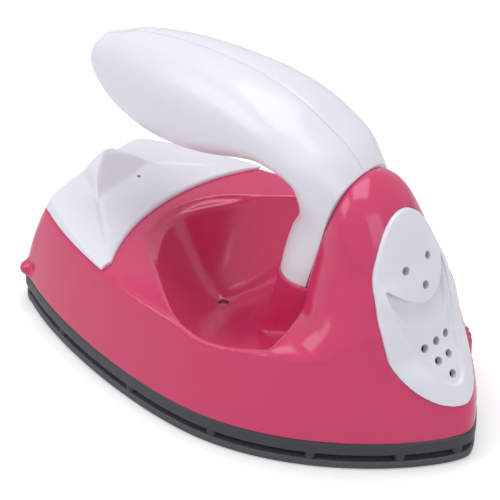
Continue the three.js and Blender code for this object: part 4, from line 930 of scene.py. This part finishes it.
crescent = front_bar("crescent", np.vstack([crescent_line, both_sides(CRESCENT_FOOT, False)[::-1]]), 0, 80)
crescent_floor = nose_form("crescent_floor", CRESCENT_DEPTH)
for corner in crescent_floor.data.vertices:
    corner.co.x -= max(0, corner.co.z - CRESCENT_FROM * MM) * CRESCENT_SLOPE
panel = cut(panel, cut(crescent, crescent_floor))
VENT_LEAN = math.radians(24)
VENT_REACH, VENT_WIDTH, VENT_SPREAD = 7, 2.2, 14.2
VENTS = [
    (0.715, 0.3, 0.715), (0.715, -0.3, 0.715), (0.772, 0, 0.647),
    (0.818, 0.29, 0.428), (0.818, 0, 0.428), (0.818, -0.29, 0.428),
    (0.863, 0.14, 0.376), (0.863, -0.14, 0.376), (0.911, 0, 0.327),
]
for along, across, rise in VENTS:
    centre = Vector((along * HALF_LENGTH, across * VENT_SPREAD, rise * HOOD))
    reach = Vector((math.cos(VENT_LEAN), 0, math.sin(VENT_LEAN))) * VENT_REACH
    panel = cut(panel, rod("vent", centre - reach, centre + reach, VENT_WIDTH, 32))
place_on(shade(panel, 40), "white_shell", "iron", "front_panel")

# Rear cover: wings, apron and raised middle as one moulded surface over the body's rear
COVER_FLOOR = 30.05
COVER_FOOT = 28
ARC_RADIUS = 52
ARC_X = -0.538 * HALF_LENGTH + ARC_RADIUS
RIM_EDGE = ring_from_half(body_half(BODY_LEVELS[-1]), 0)[:, :2]
DECK_LEVEL, DECK_FALL_ALONG, DECK_FALL_ACROSS = 32.73, 0.037, 0.102
APRON_FOOT, APRON_RISE, APRON_POWER = 30.9, 0.33, 0.83
CREASE_START, CREASE_END = np.array([-46.1, 10.1]), np.array([-33, 22])
CREASE_DEPTH, CREASE_WIDTH = 0.45, 0.75
RAISED_FOOT, RAISED_TOP = 33.4, 39.9
FRONT_X, FRONT_SLOPE = -46.3, 0.92
REAR_X, REAR_SLOPE = -55.6, 2.8
SIDE_Y, SIDE_SLOPE, SIDE_TURN = 10.2, 1.9, (0.3926, 0.9197)
RIDGE_SLOPE, RIDGE_ROUND = 0.5, 1.2
EDGE_SLOPE = 125
LIP_HEIGHT, LIP_REACH = 0.35, 0.6
INLET_PAD, INLET_BORE = 7, 5.3
PIN_SPOT, PIN_WIDTH = (-0.688 * HALF_LENGTH, 0.105 * HALF_WIDTH), 1.1


def cover_height(x, y, arc_way):
    """The cover's height over a point of its plan, and how far that is behind the arc."""
    y = np.abs(y)
    deck = DECK_LEVEL - DECK_FALL_ALONG * x - DECK_FALL_ACROSS * y
    apron = APRON_FOOT + APRON_RISE * arc_way**APRON_POWER
    top = lower_of(deck, apron, 0.35)
    way = CREASE_END - CREASE_START
    from_x, from_y = x - CREASE_START[0], y - CREASE_START[1]
    share = np.clip((from_x * way[0] + from_y * way[1]) / (way @ way), 0, 1)
    gap = np.hypot(from_x - share * way[0], from_y - share * way[1])
    top = top - CREASE_DEPTH * np.exp(-((gap / CREASE_WIDTH) ** 2)) * (1 - share**4)
    front = RAISED_FOOT + FRONT_SLOPE * (FRONT_X - x)
    side = RAISED_FOOT + SIDE_SLOPE * ((x - FRONT_X) * SIDE_TURN[0] - (y - SIDE_Y) * SIDE_TURN[1])
    rear = RAISED_FOOT + REAR_SLOPE * (x - REAR_X)
    ridge = RAISED_TOP - RIDGE_SLOPE * np.hypot(y, RIDGE_ROUND)
    raised = lower_of(lower_of(front, side, 0.5), lower_of(rear, ridge, 1), 0.9)
    top = higher_of(top, raised, 0.6)
    turn = np.arctan2(y, x)
    edge_turn = np.arctan2(RIM_EDGE[:, 1], RIM_EDGE[:, 0])
    order = np.argsort(edge_turn)
    edge = np.interp(turn, edge_turn[order], np.hypot(*RIM_EDGE[order].T))
    lean = COVER_FLOOR + EDGE_SLOPE * (1 - np.hypot(x, y) / edge)
    top = np.maximum(lower_of(top, lean, 0.9), COVER_FLOOR - 1)
    lip = np.sqrt(1 - (1 - np.minimum(arc_way / LIP_REACH, 1)) ** 2)
    return COVER_FLOOR + LIP_HEIGHT + (top - COVER_FLOOR - LIP_HEIGHT) * lip


back_way, across = np.meshgrid(34 * np.linspace(0, 1, 120) ** 1.3, np.linspace(-36.5, 36.5, 230))
along = ARC_X - np.sqrt(ARC_RADIUS**2 - across**2) - back_way
cover = height_solid("white_cover", along, across, cover_height(along, across, back_way), COVER_FOOT)
cover = meet(cover, tall_bar("rim_prism", RIM_EDGE, COVER_FLOOR, 50))
cover = trim(cover, (-27.2, 0, 0), (1, -0.04, 0))
INLET_X, INLET_Z = -0.831 * HALF_LENGTH, RIM + 3.6


def over_inlet(start, end):
    """Two points on the inlet's axis."""
    return (start, 0, INLET_Z), (end, 0, INLET_Z)


cover = cut(cover, rod("inlet_pad", *over_inlet(INLET_X, -70), INLET_PAD))
cover = cut(cover, rod("inlet_bore", *over_inlet(-55, -50), INLET_BORE))
cover = cut(cover, block("inlet_pocket", (-52.5, -2.55, 29), (-49.4, 2.55, 34.6)))
cover = cut(cover, rod("pin_hole", (*PIN_SPOT, 31), (*PIN_SPOT, 50), PIN_WIDTH, 20))
place_on(shade(cover, 40), "white_shell", "iron", "rear_cover")


def bevel_edges(piece, width, segments):
    """Rounds the sharp edges of a piece."""
    edge = piece.modifiers.new("soft_edge", "BEVEL")
    edge.width = width * MM
    edge.segments = segments
    edge.limit_method = "ANGLE"
    edge.angle_limit = math.radians(50)
    edge.harden_normals = False
    return apply_all(piece)


# Cord bushing
FLANGE_REAR, FLANGE_FRONT, BUSHING_END = -54.9, -54.05, -51.95
FLANGE_WIDTH, NECK_WIDTH, CORD_BORE = 6.4, 5, 3.6
bushing = rod("cord_bushing", *over_inlet(FLANGE_REAR, FLANGE_FRONT), FLANGE_WIDTH)
bushing = join(bushing, rod("bushing_neck", *over_inlet(FLANGE_FRONT - 0.2, BUSHING_END), NECK_WIDTH))
bushing = cut(bushing, rod("bushing_bore", *over_inlet(-60, -50), CORD_BORE))
bushing = bevel_edges(bushing, 0.2, 3)
place_on(shade(bushing, 40), "dark_rubber", "iron", "inlet_bushing")

# Temperature wheel with its thumb ribs
RIBS = 34
RIB_FORM = [0, 0.02, 0.1, 0.35, 0.65, 0.9, 0.98, 1, 1, 1, 0.98, 0.9, 0.65, 0.35, 0.1, 0.02]
rib_turn = 2 * math.pi * np.arange(RIBS * len(RIB_FORM)) / (RIBS * len(RIB_FORM))
RIB_DEPTH = 0.6
WHEEL_PROFILE = [(0.5, 0), (0.15, 0.18), (0, 0.5), (0, 5.5), (0.15, 5.82), (0.5, 6)]
WELLS = [(-1, 1.8), (4.2, 7)]
WELL_WIDTH, HUB_WIDTH, SPINDLE_HOLE = 18, 9, 4.1
rib_reach = (WHEEL_HIGH.x - WHEEL_LOW.x) / 2 - RIB_DEPTH * (1 - np.tile(RIB_FORM, RIBS))
rings = []
for inset, rise in WHEEL_PROFILE:
    reach = rib_reach - inset
    plan = np.column_stack([WHEEL_X + reach * np.cos(rib_turn), WHEEL_Y + reach * np.sin(rib_turn)])
    rings.append(np.column_stack([plan, np.full(len(reach), WHEEL_LOW.z + rise)]))


def over_wheel(low, high):
    """Two points on the wheel's axis."""
    return (WHEEL_X, WHEEL_Y, low), (WHEEL_X, WHEEL_Y, high)


wheel = skin("ribbed_wheel", rings)
for low, high in WELLS:
    well = rod("well", *over_wheel(WHEEL_LOW.z + low, WHEEL_LOW.z + high), WELL_WIDTH, 96)
    wheel = cut(wheel, cut(well, rod("hub", *over_wheel(0, 50), HUB_WIDTH, 64)))
wheel = cut(wheel, rod("hub_hole", *over_wheel(0, 50), SPINDLE_HOLE, 48))
place_on(shade(wheel, 40), "pink_wheel", "dial", "temperature_wheel")

# Handle
SEAM_GAP, PARTING = 0.06, 0.05
PARTING_EDGE = 0.14
last = len(HANDLE_SECTIONS) - 1
spots = np.r_[np.linspace(0, 2, 14)[:-1], np.linspace(2, last, 110)]
turn = 2 * math.pi * np.arange(80) / 80
round_across = np.sign(np.cos(turn)) * np.abs(np.cos(turn)) ** (2 / HANDLE_ROUND)
round_rise = np.sign(np.sin(turn)) * np.abs(np.sin(turn)) ** (2 / HANDLE_ROUND)
handle_rings = []
for crown_x, crown_z, under_x, under_z, width in flowing(HANDLE_SECTIONS, np.arange(last + 1), spots):
    crown = np.array([crown_x * HALF_LENGTH, 0, crown_z * HANDLE_TOP])
    under = np.array([under_x * HALF_LENGTH, 0, under_z * HANDLE_TOP])
    ring = (crown + under) / 2 + round_rise[:, None] * (crown - under) / 2
    ring[:, 1] = width * HANDLE_HALF * round_across
    handle_rings.append(ring)
seam_lean = Vector((SEAM_HIGH[1] - SEAM_LOW[1], 0, SEAM_LOW[0] - SEAM_HIGH[0])).normalized()
for name, node, side in (("grip_left", "handle_left", 1), ("grip_right", "handle_right", -1)):
    half = skin(name, handle_rings)
    half = trim(half, (SEAM_LOW[0] - SEAM_GAP, 0, SEAM_LOW[1]), seam_lean)
    half = trim(half, (0, side * PARTING, 0), (0, -side, 0))
    half = bevel_edges(half, PARTING_EDGE, 2)
    place_on(shade(half, 50), "white_shell", "iron", node)

# Carried-over nodes
SLOT_OF = {row["node"]: row["material_slot"] for row in frame["record"]["subparts"]}
for name, node in NODES.items():
    if node.material_slots:
        node.material_slots[0].link = "OBJECT"
        node.material_slots[0].material = FINISHES[SLOT_OF[name]]
    else:
        node.data.materials.append(FINISHES[SLOT_OF[name]])
